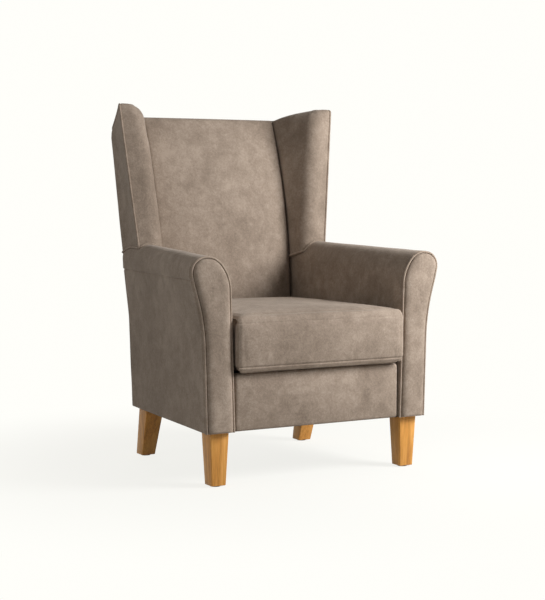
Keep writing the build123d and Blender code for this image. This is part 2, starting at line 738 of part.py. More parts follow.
def spring_clip(x, y):
    """Steel clip that holds a cross bar of a spring on its rail."""
    height = 2 * CLIP_WALL + SPRING_WIRE
    low = (x - CLIP_LENGTH / 2, y - CLIP_DEPTH / 2, RAIL_TOP)
    body = block(low, (x + CLIP_LENGTH / 2, y + CLIP_DEPTH / 2, RAIL_TOP + height))
    wire = Pos(x, y, SPRING_LEVEL) * Rot(0, 90, 0) * Cylinder(SPRING_WIRE / 2 + WIRE_FIT, 2 * CLIP_LENGTH)
    return body - wire


def well_slab(low, high):
    """Level slab that fills the seat well between the arms."""
    front = FRONT_RAIL_FRONT
    rear = CREASE - BACK_CROWN
    right = [(arm_inner(front, low) - BODY_GAP, front), (arm_inner(rear, low) - BODY_GAP, rear)]
    left = [(-x, y) for x, y in reversed(right)]
    return prism_z(right + left, low, high)


def border_block(inset):
    """Padded border under the cushion, with its faces moved in."""
    half = arm_inner(BORDER_FRONT, LEG_HEIGHT) - BORDER_SIDE_GAP - inset
    low = LEG_HEIGHT - inset
    high = DECK_HEIGHT - inset
    corner = BORDER_CORNER - inset
    outline = make_face(Polyline((-half, low), (half, low), (half, high), (-half, high), close=True))
    outline = fillet(outline.vertices().group_by(Axis.Y)[-1], corner)
    solid = extrude(at_y(BORDER_FRONT + inset, outline), amount=BORDER_THICKNESS - inset, dir=(0, 1, 0))
    front_edges = solid.faces().sort_by(Axis.Y)[0].edges().sort_by(Axis.Z)[1:]
    return fillet(front_edges, BORDER_EDGE - inset)


def cushion_profile(half, low, high, crown, bulge):
    """Cross section of the cushion in (x, z) with round corners, swelling sides and a crowned top."""
    r = CUSHION_CORNER
    inner = half - r
    d = r * (1 - math.sqrt(0.5))
    middle = (low + high) / 2
    return make_face([
        Line((-inner, low), (inner, low)),
        ThreePointArc((inner, low), (half - d, low + d), (half, low + r)),
        ThreePointArc((half, low + r), (half + bulge, middle), (half, high - r)),
        ThreePointArc((half, high - r), (half - d, high - d), (inner, high)),
        ThreePointArc((inner, high), (0, high + crown), (-inner, high)),
        ThreePointArc((-inner, high), (-half + d, high - d), (-half, high - r)),
        ThreePointArc((-half, high - r), (-half - bulge, middle), (-half, low + r)),
        ThreePointArc((-half, low + r), (-half + d, low + d), (-inner, low)),
    ])


def cushion_rear():
    """Y of the rear of the cushion."""
    return CREASE - BACK_CROWN - CUSHION_BACK_GAP


def cushion_stations(inset):
    """Sections of the cushion along Y: place, how far the outline is tucked in, crown share, side spread."""
    front = -OVERALL_DEPTH / 2 + inset
    rear = cushion_rear() - inset
    edge_run = CUSHION_OVERHANG - CUSHION_SPREAD_TURN - inset
    stations = [(FRONT, 0.0, 0.0, 0.0)]
    for step in range(CUSHION_EDGE_STEPS + 1):
        turn = math.radians(90 * step / CUSHION_EDGE_STEPS)
        run = edge_run * (1 - math.cos(turn))
        tuck = (CUSHION_EDGE_INSET - inset) * (1 - math.sin(turn))
        stations.append((front + run, tuck, 0.0, CUSHION_SPREAD))
        stations.append((rear - run, tuck, 0.0, 0.0))
    body = rear - edge_run - FRONT
    for step in range(1, CUSHION_BODY_STEPS):
        share = step / CUSHION_BODY_STEPS
        stations.append((FRONT + share * body, 0.0, math.sin(math.pi * share), 0.0))
    return sorted(stations)


def cushion_block(inset):
    """Crowned seat cushion, spread before the arms and drawn in between them, with its faces moved in."""
    sections = []
    for y, tuck, swell, spread in cushion_stations(inset):
        side = arm_inner(max(y, ARM_FRONT), DECK_HEIGHT) - CUSHION_SIDE_GAP + spread
        half = side - tuck - inset - CUSHION_SIDE_DRAW_IN * swell
        low = DECK_HEIGHT + BODY_GAP + tuck + inset
        crown = CUSHION_CROWN * (CUSHION_EDGE_CROWN + (1 - CUSHION_EDGE_CROWN) * swell)
        profile = cushion_profile(half, low, SEAT_HEIGHT - tuck - inset, crown, CUSHION_SIDE_BULGE)
        sections.append(at_y(y, profile))
    return loft(sections, ruled=True)


def zip_level():
    """Height of the cushion's zip."""
    return (DECK_HEIGHT + SEAT_HEIGHT) / 2


def zip_half():
    """Half length of the cushion's zip."""
    return arm_inner(cushion_rear(), zip_level()) - CUSHION_SIDE_GAP - ZIP_END_GAP


def cushion_zip():
    """Zip tape with its raised coil on the rear of the cushion."""
    y = cushion_rear()
    z = zip_level()
    half = zip_half()
    tape_low = (-half, y, z - ZIP_TAPE_HEIGHT / 2)
    tape_high = (half, y + ZIP_TAPE, z + ZIP_TAPE_HEIGHT / 2)
    coil_low = (-half, y + ZIP_TAPE, z - ZIP_COIL_HEIGHT / 2)
    coil_high = (half, y + ZIP_TAPE + ZIP_COIL, z + ZIP_COIL_HEIGHT / 2)
    return block(tape_low, tape_high) + block(coil_low, coil_high)


def zip_slider():
    """Slider straddling the coil at the closed end of the zip, with its pull hanging down."""
    y = cushion_rear() + ZIP_TAPE + SLIDER_FIT
    z = zip_level()
    right = zip_half() - SLIDER_LENGTH / 2
    half = ZIP_COIL_HEIGHT / 2 + SLIDER_FIT + SLIDER_WALL
    depth = ZIP_COIL + SLIDER_WALL
    body = block((right - SLIDER_LENGTH, y, z - half), (right, y + depth, z + half))
    slot_half = ZIP_COIL_HEIGHT / 2 + SLIDER_FIT
    slot_low = (right - 2 * SLIDER_LENGTH, y, z - slot_half)
    slot_high = (right + SLIDER_LENGTH, y + ZIP_COIL, z + slot_half)
    middle = right - SLIDER_LENGTH / 2
    pull_low = (middle - PULL_WIDTH / 2, y + depth, z - PULL_LENGTH)
    pull_high = (middle + PULL_WIDTH / 2, y + depth + PULL_THICKNESS, z + half / 2)
    return body - block(slot_low, slot_high) + block(pull_low, pull_high)


def save(name, *solids):
    """Write one node's solids to its own file."""
    shape = solids[0] if len(solids) == 1 else Compound(children=[Compound(s.solids()) for s in solids])
    export_step(shape, os.path.join("parts", name + ".step"))


def make_legs():
    """Legs, glides, hanger bolts, tee nuts and corner blocks; returns what the pads leave room for."""
    glides, bolts, nuts, blocks, spaces = [], [], [], [], []
    for end, leg in right_legs().items():
        for side, solid in both_sides(leg_solid(leg)).items():
            save(f"leg_{end}_{side}", solid)
        glides += both_sides(glide(leg)).values()
        bolts += both_sides(bolt(leg, 0)).values()
        nuts += both_sides(tee_nut(leg)).values()
        blocks += both_sides(corner_block(leg)).values()
        spaces += both_sides(bolt_space(leg)).values()
    save("leg_glides", *glides)
    save("leg_hanger_bolts", *bolts)
    save("leg_tee_nuts", *nuts)
    save("corner_blocks", *blocks)
    return blocks + spaces


def make_frame():
    """Timber frame; returns its pieces."""
    rear_rail = cross_rail(FRAME_BOTTOM, RAIL_TOP)
    lower_rail = cross_rail(LOWER_BACK_RAIL_BOTTOM, LOWER_BACK_RAIL_BOTTOM + BACK_RAIL_HEIGHT)
    top_rail = cross_rail(POST_TOP - BACK_RAIL_HEIGHT, POST_TOP)
    pieces = {
        "seat_rail_front": front_rail(),
        "seat_rail_rear": rear_rail,
        "back_rail_lower": lower_rail,
        "back_rail_top": top_rail,
    }
    sided = {
        "seat_rail_side": side_rail(),
        "back_post": back_post(),
        "arm_front_board": arm_front_board(),
        "arm_rail": arm_rail(),
        "wing_board": wing_board(),
    }
    for name, solid in sided.items():
        for side, piece in both_sides(solid).items():
            pieces[f"{name}_{side}"] = piece
    for name, solid in pieces.items():
        save(name, solid)
    return list(pieces.values())


def make_suspension():
    """Springs, clips, felt, deck and back webbing."""
    start, bars = spring_run()
    clips = [spring_clip(x, y) for x in spring_places() for y in (start, start + bars * SPRING_PITCH)]
    save("seat_springs", *[seat_spring(x) for x in spring_places()])
    save("spring_clips", *clips)
    save("spring_felt", well_slab(FELT_BOTTOM, FELT_BOTTOM + FELT))
    save("deck_pad", well_slab(FELT_BOTTOM + FELT, DECK_HEIGHT - DECK_COVER))
    save("deck_cover", well_slab(DECK_HEIGHT - DECK_COVER, DECK_HEIGHT))
    save("back_webbing", *back_straps())


def make_arms(frame):
    """Pads, covers, front panels and welts of the arms."""
    outer = arm_block(0)
    core = arm_block(COVER)
    shell = without(outer - core, [underside(0)] + frame)
    half = outer_half_of_arm()
    sided = {
        "arm_pad": without(core, frame),
        "arm_cover_inside": shell - half,
        "arm_cover_outside": shell & half,
        "arm_front_panel": arm_front_panel(),
        "arm_front_welt": arm_front_welt(),
    }
    for name, solid in sided.items():
        for side, piece in both_sides(solid).items():
            save(f"{name}_{side}", piece)


def make_wings(frame):
    """Pads, covers and welts of the wings."""
    outer = wing_block(0)
    core = wing_block(COVER)
    slab = wing_outer_slab()
    groove = wing_welt(WELT / 2)
    shell = without(outer - core, [groove] + frame)
    sided = {
        "wing_pad": without(core, [groove] + frame),
        "wing_cover_inside": shell - slab,
        "wing_cover_outside": shell & slab,
        "wing_welt": wing_welt(WELT / 2 - WIRE_FIT),
    }
    for name, solid in sided.items():
        for side, piece in both_sides(solid).items():
            save(f"{name}_{side}", piece)


def make_back(frame):
    """Pad and covers of the back."""
    outer = back_block(0)
    core = back_block(COVER)
    hollow = behind_webbing()
    save("back_pad", without(core, [hollow] + frame + back_straps()))
    save("back_cover_inside", without(outer - core, [hollow] + frame))
    save("back_cover_outside", outside_back())


def make_seat():
    """Front border, dust cover, cushion and zip."""
    below_frame = block((-FAR, -FAR, 0), (FAR, FAR, FRAME_BOTTOM))
    save("border_cover", without(border_block(0), [border_block(COVER), underside(0)]))
    save("border_pad", border_block(COVER) - below_frame)
    holes = []
    for leg in right_legs().values():
        holes += both_sides(leg_hole(leg)).values()
    sheet = underside(BODY_GAP) - block((-FAR, -FAR, 0), (FAR, FAR, FRAME_BOTTOM - DUST_COVER))
    save("dust_cover", without(sheet, holes))
    core = cushion_block(COVER)
    save("cushion_cover", cushion_block(0) - core)
    save("cushion_core", core)
    save("cushion_zip", cushion_zip())
    save("zip_slider", zip_slider())


def main():
    os.makedirs("parts", exist_ok=True)
    frame = make_frame() + make_legs()
    make_suspension()
    make_arms(frame)
    make_wings(frame)
    make_back(frame)
    make_seat()


main()
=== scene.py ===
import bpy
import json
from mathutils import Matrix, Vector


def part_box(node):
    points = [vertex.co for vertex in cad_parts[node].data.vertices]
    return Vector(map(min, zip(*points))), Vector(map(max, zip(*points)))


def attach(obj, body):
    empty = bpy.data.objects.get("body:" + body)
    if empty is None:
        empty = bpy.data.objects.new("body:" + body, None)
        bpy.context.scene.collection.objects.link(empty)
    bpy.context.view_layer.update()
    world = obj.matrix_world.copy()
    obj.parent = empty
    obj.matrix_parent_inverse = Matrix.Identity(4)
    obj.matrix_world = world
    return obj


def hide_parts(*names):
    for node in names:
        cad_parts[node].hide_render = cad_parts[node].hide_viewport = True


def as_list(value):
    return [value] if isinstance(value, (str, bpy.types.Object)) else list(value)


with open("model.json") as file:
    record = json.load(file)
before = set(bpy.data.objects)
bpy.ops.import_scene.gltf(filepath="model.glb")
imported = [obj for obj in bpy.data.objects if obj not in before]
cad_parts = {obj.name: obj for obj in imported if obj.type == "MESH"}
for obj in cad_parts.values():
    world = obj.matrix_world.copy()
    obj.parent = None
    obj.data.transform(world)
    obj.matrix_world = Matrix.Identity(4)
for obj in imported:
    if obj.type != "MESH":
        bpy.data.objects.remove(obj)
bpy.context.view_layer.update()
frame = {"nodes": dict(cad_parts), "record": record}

import json
import math

import bmesh
import bpy
import numpy as np
from bpy.props import FloatProperty, FloatVectorProperty, IntProperty, PointerProperty
from mathutils import Matrix, Vector, noise
from mathutils.geometry import delaunay_2d_cdt
from mathutils.kdtree import KDTree

bl_info = {
    "name": "Wingback Chair",
    "version": (1, 0, 0),
    "blender": (4, 5, 0),
    "location": "View3D > Sidebar > Wingback",
    "description": "Builds the upholstery, legs and stage of a wingback chair on its frame",
    "category": "Object",
}

CHAIR = "chair"
CUSHION = "seat_cushion"
SLIDER = "zip_slider"
SIDES = {"right": 1, "left": -1}
SQUARE = np.array([(-1, -1), (1, -1), (1, 1), (-1, 1)])

# Points closer than the weld are one point, and lengths below the tiny one count as none.
WELD, TINY = 1e-6, 1e-12

# Distances from the edge of a padded face at which it gets rings of points, and the spacing further in.
PANEL_RINGS, PANEL_SPACING = (0.0007, 0.0018, 0.0035, 0.006, 0.0095), 0.0075
TOP_RINGS, TOP_SPACING = (0.0006, 0.0016, 0.003, 0.005, 0.008, 0.012, 0.017), 0.006
# Share of a ring's distance that must be free of the rest of the edge.
RING_FREE = 0.93

# Points on each stretch of an arm's section, where the flare has five arcs.
SECTION_COUNTS = {"hem": 5, "outer": 24, "arcs": (16, 36, 14, 12, 16), "inner": 34}

# Length of the soft waves in each padded face, and the step of its seed.
WAVES = {
    "arm": (0.16, 0), "arm_fine": (0.06, 1), "panel": (0.07, 2), "wing": (0.13, 3), "back": (0.17, 4),
    "piping": (0.009, 5), "back_fine": (0.07, 6), "outside_back": (0.2, 8), "border": (0.11, 9),
    "pucker": (0.028, 11), "cushion": (0.11, 12),
}

# Place, target and diameter of each light.
LIGHTS = {
    "key_light": ((1.4, -1.4, 1.36), (0.0, 0.1, 0.7), 1.0),
    "fill_light": ((-2.5, -0.5, 1.5), (0.0, 0.0, 0.55), 1.5),
    "rear_light": ((1.0, 3.0, 1.8), (0.0, 0.0, 0.6), 2.0),
}


def length(name, description, default):
    """A size in metres."""
    return FloatProperty(name=name, description=description, default=default, unit="LENGTH", precision=4)


def angle(name, description, degrees):
    """An angle, given in degrees."""
    return FloatProperty(name=name, description=description, default=math.radians(degrees), subtype="ANGLE")


def share(name, description, default):
    """A plain factor."""
    return FloatProperty(name=name, description=description, default=default, subtype="FACTOR")


def power(name, description, default):
    """The power of a light in watts."""
    return FloatProperty(name=name, description=description, default=default, unit="POWER")


def colour(name, description, default):
    """A linear colour."""
    return FloatVectorProperty(name=name, description=description, default=default, size=3, min=0, max=1,
                               subtype="COLOR")


class OverallSizes(bpy.types.PropertyGroup):
    """Outside sizes of the chair"""
    width: length("Width", "Across the arm rolls", 0.796)
    depth: length("Depth", "From the cushion's front to the back", 0.740)
    height: length("Height", "To the tips of the wings", 1.060)
    leg_height: length("Leg height", "Underside of the frame above the floor", 0.150)
    cover: length("Cover", "Thickness of the cover", 0.002)
    piping: length("Piping", "Diameter of the piping", 0.0064)
    hem: length("Hem", "Radius of the lower edges of the covers", 0.005)
    unevenness: length("Unevenness", "Height of the soft waves in padded faces", 0.0011)
    gather: length("Gather", "Height of the small waves along the piping", 0.0003)


class ArmSizes(bpy.types.PropertyGroup):
    """Sizes of the arms"""
    height: length("Height", "Top of the arm at its front", 0.632)
    run: length("Length", "From the arm's front to its rear section", 0.640)
    base: length("Base", "Thickness of the arm at its foot", 0.0885)
    lean: length("Lean", "How far the outer face leans out up to the flare", 0.006)
    flare_drop: length("Flare", "Start of the flare below the top", 0.252)
    neck_drop: length("Neck", "Narrow part of the flare below the top", 0.106)
    neck_in: length("Neck inside roll", "Neck inward of the roll's widest place", 0.013)
    roll_drop: length("Roll", "Widest place of the roll below the top", 0.055)
    crest_drop: length("Crest", "Outer end of the top below the top", 0.0065)
    crest_in: length("Crest inside roll", "Outer end of the top inward of the roll", 0.027)
    shoulder_drop: length("Shoulder", "Inner end of the top below the top", 0.023)
    shoulder_in: length("Shoulder inward", "Inner end of the top outward of the seat", 0.039)
    hip_drop: length("Hip", "End of the inner curve below the top", 0.102)
    hip_in: length("Hip inward", "End of the inner curve outward of the seat", 0.010)
    rear_base: length("Rear base", "Thickness of the arm's rear section", 0.0775)
    rear_rise: length("Rear rise", "Rise of the top towards the wing", 0.014)
    rear_lean: length("Rear lean", "Lean of the rear section up to the flare", 0.003)
    rear_bulge: length("Rear bulge", "Reach of the rear roll past its foot", 0.0105)
    rear_neck_in: length("Rear neck", "Rear neck inward of the rear roll", 0.0025)
    rear_crest_in: length("Rear crest", "Rear crest inward of the rear roll", 0.019)
    rear_crest_drop: length("Rear crest drop", "Rear crest below the rear top", 0.008)
    rear_shoulder_in: length("Rear shoulder", "Rear shoulder outward of the seat", 0.017)
    rear_shoulder_drop: length("Rear shoulder drop", "Rear shoulder below the rear top", 0.010)
    rear_hip_drop: length("Rear hip drop", "Rear hip below the rear top", 0.054)
    seam_height: length("Seam height", "Seam along the outside of the arm", 0.565)
    seam_depth: length("Seam depth", "Depth of the sewn seams", 0.0021)
    seam_width: length("Seam width", "Half width of the sewn seams", 0.0024)
    seam_lip: length("Seam lip", "How far the cover above a seam stands proud", 0.0016)
    lip_run: length("Lip run", "Height in which that lip fades", 0.030)
    end_tuck: length("End tuck", "How far the cover turns in at the arm's ends", 0.0032)
    end_run: length("End run", "Run in which the cover turns in", 0.006)
    level_foot: length("Level foot", "Height above the underside that stays level", 0.020)
    panel_crown: length("Panel crown", "Swell of the padded front panel", 0.0075)
    panel_run: length("Panel run", "Width of the swelling edge of the front panel", 0.020)
    panel_foot: length("Panel foot", "Rounding of the front panel's lower edge", 0.007)


class BackSizes(bpy.types.PropertyGroup):
    """Sizes of the back"""
    height: length("Height", "Top of the back between the wings", 1.028)
    recline: angle("Recline", "Slope of the outside back above its bend", 10.8)
    lower_recline: angle("Lower recline", "Slope of the outside back below its bend", 2.9)
    bend_height: length("Bend", "Height of the bend in the outside back", 0.420)
    rearmost_height: length("Rearmost height", "Height at which the back reaches furthest", 1.000)
    outside_top: length("Outside top", "Top of the outside back cover", 0.940)
    outside_top_width: length("Outside top width", "Width of the outside back at its top", 0.644)
    face_radius: length("Face radius", "Radius of the inside back in side view", 1.450)
    face_straight_to: length("Straight to", "Height to which the inside back is upright", 0.450)
    crown: length("Crown", "Swell of the inside back across its width", 0.030)
    top_crown: length("Top crown", "Swell of the inside back at its top", 0.010)
    top_roll: length("Top roll", "Softness of the top roll", 0.016)
    side_roll: length("Side roll", "Rounding of the inside back into its creases", 0.015)
    side_fade: length("Side fade", "Depth before the rear in which that rounding fades", 0.060)
    soft_edge: length("Soft edge", "Distance from the creases at which the waves are full", 0.050)
    outside_swell: length("Outside swell", "Swell of the outside back cover", 0.003)
    outside_run: length("Outside run", "Distance from its edge at which that swell is full", 0.160)
    outside_edge: length("Outside edge", "Rounding of the outside back cover's edge", 0.012)


class WingSizes(bpy.types.PropertyGroup):
    """Sizes of the wings"""
    foot_half_width: length("Foot half width", "Piped edge from the middle at the arm", 0.323)
    foot_setback: length("Foot setback", "Piped edge behind the arm's front at the arm", 0.508)
    foot_height: length("Foot height", "Height at which the foot sizes hold", 0.645)
    tip_half_width: length("Tip half width", "Piped edge from the middle at the tip", 0.3655)
    tip_setback: length("Tip setback", "Piped edge behind the arm's front at the tip", 0.544)
    foot_thickness: length("Foot thickness", "Thickness of the front roll at the arm", 0.081)
    tip_thickness: length("Tip thickness", "Thickness of the front roll at the tip", 0.065)
    roll_forward: length("Roll forward", "Reach of the front roll before the piped edge", 0.019)
    roll_radius: length("Roll radius", "Radius of the front roll", 0.042)
    hollow: length("Hollow", "Depth of the hollow in the outer face", 0.006)
    inner_swell: length("Inner swell", "Swell of the inner face beside the back", 0.007)
    swell_run: length("Swell run", "Run in which that swell rises out of the crease", 0.024)
    level_run: length("Level run", "Level part of the top behind the tip", 0.012)
    fall: angle("Fall", "Slope at which the top starts to fall", 15)
    shoulder_height: length("Shoulder height", "Height of the shoulder at the rear", 0.985)
    shoulder_forward: length("Shoulder forward", "Shoulder before the outside back", 0.009)
    shoulder_turn: length("Shoulder turn", "Height of the shoulder's turn", 0.038)
    top_width: length("Top rounding width", "Width of the rounding along the inner top edge", 0.050)
    top_drop: length("Top rounding drop", "Height of the rounding along the inner top edge", 0.060)
    top_blend: length("Top blend", "Run from the piped edge to the full rounding", 0.062)
    edge_round: length("Edge rounding", "Rounding of the top at the piped edge and the rear", 0.009)
    ridge_run: length("Ridge run", "From the outer edge to the ridge of the top", 0.045)
    ridge_bend: share("Ridge bend", "Power of the curve in which the ridge falls to the back", 1.8)
    rear_corner: length("Rear corner", "Rounding of the outer rear edge", 0.005)
    sunk: length("Sunk", "Depth of the wing's foot in the arm", 0.012)
    fold_foot: length("Fold foot", "Height of the seam round the wing's foot at the crease", 0.594)
    foot_fall: length("Foot fall", "Run in which that seam falls to the arm behind the piped edge", 0.080)
    tip_round: length("Tip rounding", "Softness of the piping's turn at the tip", 0.009)


class SeatSizes(bpy.types.PropertyGroup):
    """Sizes of the seat, its border and its cushion"""
    front_width: length("Front width", "Between the arms at the front", 0.534)
    rear_width: length("Rear width", "Between the arms at the rear", 0.462)
    depth: length("Depth", "From the arm's front to the crease of the back", 0.558)
    height: length("Height", "Top of the cushion at its edges", 0.466)
    deck_height: length("Deck height", "Top of the deck under the cushion", 0.308)
    deck_edge: length("Deck edge", "Rounding of the deck's edge", 0.006)
    deck_gap: length("Deck gap", "Deck to the arms", 0.0004)
    deck_seam: length("Deck seam", "Depth of the seam across the deck", 0.0016)
    deck_seam_setback: length("Deck seam setback", "Seam behind the deck's front", 0.090)
    deck_seam_width: length("Deck seam width", "Half width of that seam", 0.004)
    overhang: length("Overhang", "Reach of the cushion before the arms", 0.025)
    cushion_crown: length("Cushion crown", "Crown of the cushion before it is filled", 0.010)
    side_edge: length("Side edge", "Reach of the cushion's rounded edges across", 0.016)
    front_edge: length("Front edge", "Reach of the cushion's rounded edges along", 0.019)
    top_edge: length("Top edge", "Height of the cushion's rounded upper edges", 0.030)
    low_edge: length("Low edge", "Height of the cushion's rounded lower edges", 0.026)
    cushion_side_gap: length("Side gap", "Cushion to the arms", 0.0035)
    cushion_back_gap: length("Back gap", "Cushion to the back", 0.010)
    cushion_slack: length("Slack", "How much smaller the cushion is before it is filled", 0.002)
    cushion_pressure: share("Pressure", "Pressure that fills the cushion", 2.5)
    cushion_swell: length("Swell", "Most that a place on the cushion may move", 0.009)
    cushion_proud: length("Proud", "Most that the cushion's front may pass its front line", 0.003)
    cushion_clear: length("Clear", "Cushion above the deck", 0.0006)
    cushion_spread: length("Spread", "Bulge of the cushion's sides before the arm fronts", 0.0055)
    spread_turn: length("Spread turn", "Run in which that bulge grows", 0.005)
    low_seam: length("Low seam", "Lower seam above the cushion's underside", 0.019)
    high_seam: length("High seam", "Upper seam below the cushion's edge height", 0.020)
    seam_depth: length("Seam depth", "Depth of the cushion's lower seam", 0.0028)
    low_roll: length("Low roll", "How far the cover turns in under the lower seam", 0.012)
    high_seam_share: share("High seam share", "Depth of the upper seam against the lower one", 0.3)
    pucker: length("Pucker", "Height of the puckers along the seams", 0.0009)
    pucker_reach: length("Pucker reach", "Distance from a seam at which its puckers fade", 0.020)
    top_run: length("Top run", "Height below the edge at which the waves of the top begin", 0.030)
    border_setback: length("Border setback", "Front border behind the arm's front", 0.006)
    border_thickness: length("Border thickness", "Thickness of the front border", 0.022)
    border_corner: length("Border corner", "Radius of the border's upper corners", 0.012)
    border_gap: length("Border gap", "Front border to the arms", 0.003)
    border_swell: length("Border swell", "Swell of the front border", 0.005)
    border_blend: length("Border blend", "Distance from its edge at which that swell is full", 0.060)
    border_fold: length("Border fold", "Height of the border's rounded edge", 0.006)
    border_round: length("Border round", "Width of the border's rounded edge", 0.008)


class LegSizes(bpy.types.PropertyGroup):
    """Sizes of the legs"""
    top: length("Top", "Side of the leg at its top", 0.056)
    foot: length("Foot", "Side of the leg at its foot", 0.043)
    front_half_spacing: length("Front spacing", "Front legs from the middle", 0.307)
    front_setback: length("Front setback", "Front legs behind the arm's front", 0.0435)
    rear_half_spacing: length("Rear spacing", "Rear legs from the middle", 0.275)
    rear_setback: length("Rear setback", "Rear legs behind the arm's front", 0.525)
    rear_rake: length("Rear rake", "Rake of the rear legs at the foot", 0.045)
    glide: length("Glide", "Height of the floor glides", 0.003)
    edge: length("Edge", "Width of the eased edges", 0.0022)
    opening: length("Opening", "Gap round the leg in the cloth under the frame", 0.001)


class ZipSizes(bpy.types.PropertyGroup):
    """Sizes of the cushion's zip"""
    run: length("Length", "Length of the zip", 0.380)
    tape_height: length("Tape height", "Height of the tape", 0.024)
    tape: length("Tape", "Thickness of the tape", 0.0012)
    coil_height: length("Coil height", "Height of the coil", 0.005)
    coil: length("Coil", "Depth of the coil", 0.0018)
    pitch: length("Pitch", "From one turn of the coil to the next", 0.0022)
    wire: length("Wire", "Radius of the coil's wire", 0.0005)
    slider_edge: length("Slider edge", "Width of the slider's eased edges", 0.0003)


class Finishes(bpy.types.PropertyGroup):
    """Colours of the chair"""
    suede_dark: colour("Suede dark", "Darker clouds in the nap", (0.235, 0.180, 0.136))
    suede_mid: colour("Suede", "Main tone of the nap", (0.322, 0.251, 0.195))
    suede_light: colour("Suede light", "Brushed places in the nap", (0.430, 0.343, 0.273))
    oak_dark: colour("Oak dark", "Dark grain lines", (0.470, 0.195, 0.043))
    oak_mid: colour("Oak", "Main tone of the oak", (0.720, 0.328, 0.068))
    oak_light: colour("Oak light", "Pale bands of the oak", (0.860, 0.445, 0.120))
    timber: colour("Timber", "Hidden frame timber", (0.56, 0.41, 0.25))
    cloth: colour("Cloth", "Deck and underside cloth", (0.030, 0.029, 0.028))
    felt: colour("Felt", "Felt over the springs", (0.22, 0.21, 0.20))
    webbing: colour("Webbing", "Webbing of the back", (0.26, 0.20, 0.12))
    steel: colour("Steel", "Springs, clips and bolts", (0.55, 0.55, 0.56))
    glide: colour("Glide", "Plastic floor glides", (0.045, 0.042, 0.040))
    zip_tape: colour("Zip tape", "Zip tape and coil", (0.17, 0.14, 0.115))
    zip_metal: colour("Zip metal", "Zip slider", (0.15, 0.125, 0.105))


class StageSettings(bpy.types.PropertyGroup):
    """Camera, lights and backdrop"""
    eye: FloatVectorProperty(name="Eye", description="Place of the camera", subtype="XYZ", unit="LENGTH",
                             default=(-2.1058, -3.8154, 0.8002))
    turn: angle("Turn", "Direction of view, to the right of the chair's front", -29.37)
    dip: angle("Dip", "Direction of view below level", 4.24)
    lens: FloatProperty(name="Lens", description="Focal length", default=87.94, unit="CAMERA")
    backdrop: colour("Backdrop", "Floor and background as the camera sees them", (1.0, 0.995, 0.955))
    floor: colour("Floor", "Floor as the light sees it", (0.55, 0.54, 0.52))
    floor_reach: length("Floor reach", "Half the side of the floor", 12.0)
    key_light: power("Key light", "Power of the large light at the front right", 55.0)
    fill_light: power("Fill light", "Power of the light at the left", 7.5)
    rear_light: power("Rear light", "Power of the light behind the chair", 20.0)
    sky: share("Sky", "Strength of the even light from all round", 0.17)
    sky_tone: colour("Sky tone", "Colour of that light", (1.0, 0.985, 0.965))
    shadow: share("Shadow", "How much of the shadow shows on the floor", 0.16)
    shadow_reach: length("Shadow reach", "Distance from the chair at which its shadow has faded", 1.3)


class ChairSettings(bpy.types.PropertyGroup):
    """All settings of the chair"""
    overall: PointerProperty(type=OverallSizes)
    arm: PointerProperty(type=ArmSizes)
    back: PointerProperty(type=BackSizes)
    wing: PointerProperty(type=WingSizes)
    seat: PointerProperty(type=SeatSizes)
    leg: PointerProperty(type=LegSizes)
    zip: PointerProperty(type=ZipSizes)
    finish: PointerProperty(type=Finishes)
    stage: PointerProperty(type=StageSettings)
    seed: IntProperty(name="Seed", description="Start of the soft waves in the padding", default=7)


def chair():
    """Settings of the chair in this file."""
    return bpy.context.scene.wingback


def front_plane():
    """Y of the arm fronts' welts."""
    return -chair().overall.depth / 2 + chair().seat.overhang


def arm_start():
    """Y at which the arm begins, behind the piping of its front."""
    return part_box("arm_front_board_right")[0].y


def arm_end():
    """Y of the arm's rear section."""
    return front_plane() + chair().arm.run


def crease():
    """Y of the crease between cushion and back at its lower end."""
    return front_plane() + chair().seat.depth


def rear_face(z):
    """Y of the outside of the back at height z."""
    back = chair().back
    z = np.asarray(z, float)
    rise = np.tan(back.recline) * (back.rearmost_height - np.maximum(z, back.bend_height))
    return chair().overall.depth / 2 - rise - np.tan(back.lower_recline) * np.maximum(back.bend_height - z, 0)


def rear_half_width(z):
    """Half width of the outside of the back at height z."""
    low = chair().overall.leg_height
    foot = chair().seat.rear_width / 2 + chair().arm.rear_base
    climb = (np.asarray(z, float) - low) / (chair().back.outside_top - low)
    return foot + climb * (chair().back.outside_top_width / 2 - foot)


def back_face(z):
    """Y of the crease between the inside back and the wing at height z."""
    back = chair().back
    rise = np.maximum(np.asarray(z, float) - back.face_straight_to, 0)
    return crease() + back.face_radius - np.sqrt(back.face_radius ** 2 - rise ** 2)


def along_arm(y):
    """Share of the way from the arm's front section to its rear section."""
    return (np.asarray(y, float) - arm_start()) / (arm_end() - arm_start())


def arm_inner(y, z):
    """X of the inner face of the arm, below its roll."""
    arm, seat = chair().arm, chair().seat
    low = chair().overall.leg_height
    front = seat.front_width / 2 + arm.hip_in * (z - low) / (arm.height - arm.hip_drop - low)
    return front + along_arm(y) * (seat.rear_width / 2 - front)


def shares(count):
    """Even shares after 0, up to 1."""
    return np.arange(1, count + 1) / count


def tangent_arc(start, heading, end, count):
    """Points of the arc that leaves start in the given direction and ends at end, and its last direction."""
    chord = np.subtract(end, start)
    bend = math.remainder(math.atan2(chord[1], chord[0]) - heading, math.tau)
    reach = np.hypot(*chord) * np.sin(bend * shares(count)) / math.sin(bend)
    turn = heading + bend * shares(count)
    points = np.asarray(start) + reach[:, None] * np.column_stack([np.cos(turn), np.sin(turn)])
    return points, heading + 2 * bend


def straight(start, end, count):
    """Evenly spaced points after start, up to end."""
    return np.asarray(start) + shares(count)[:, None] * np.subtract(end, start)


def polygon(corners, count):
    """Closed line through corners, with as many points on each of its sides."""
    return np.concatenate([straight(a, b, count) for a, b in zip(corners, np.roll(corners, -1, 0))])


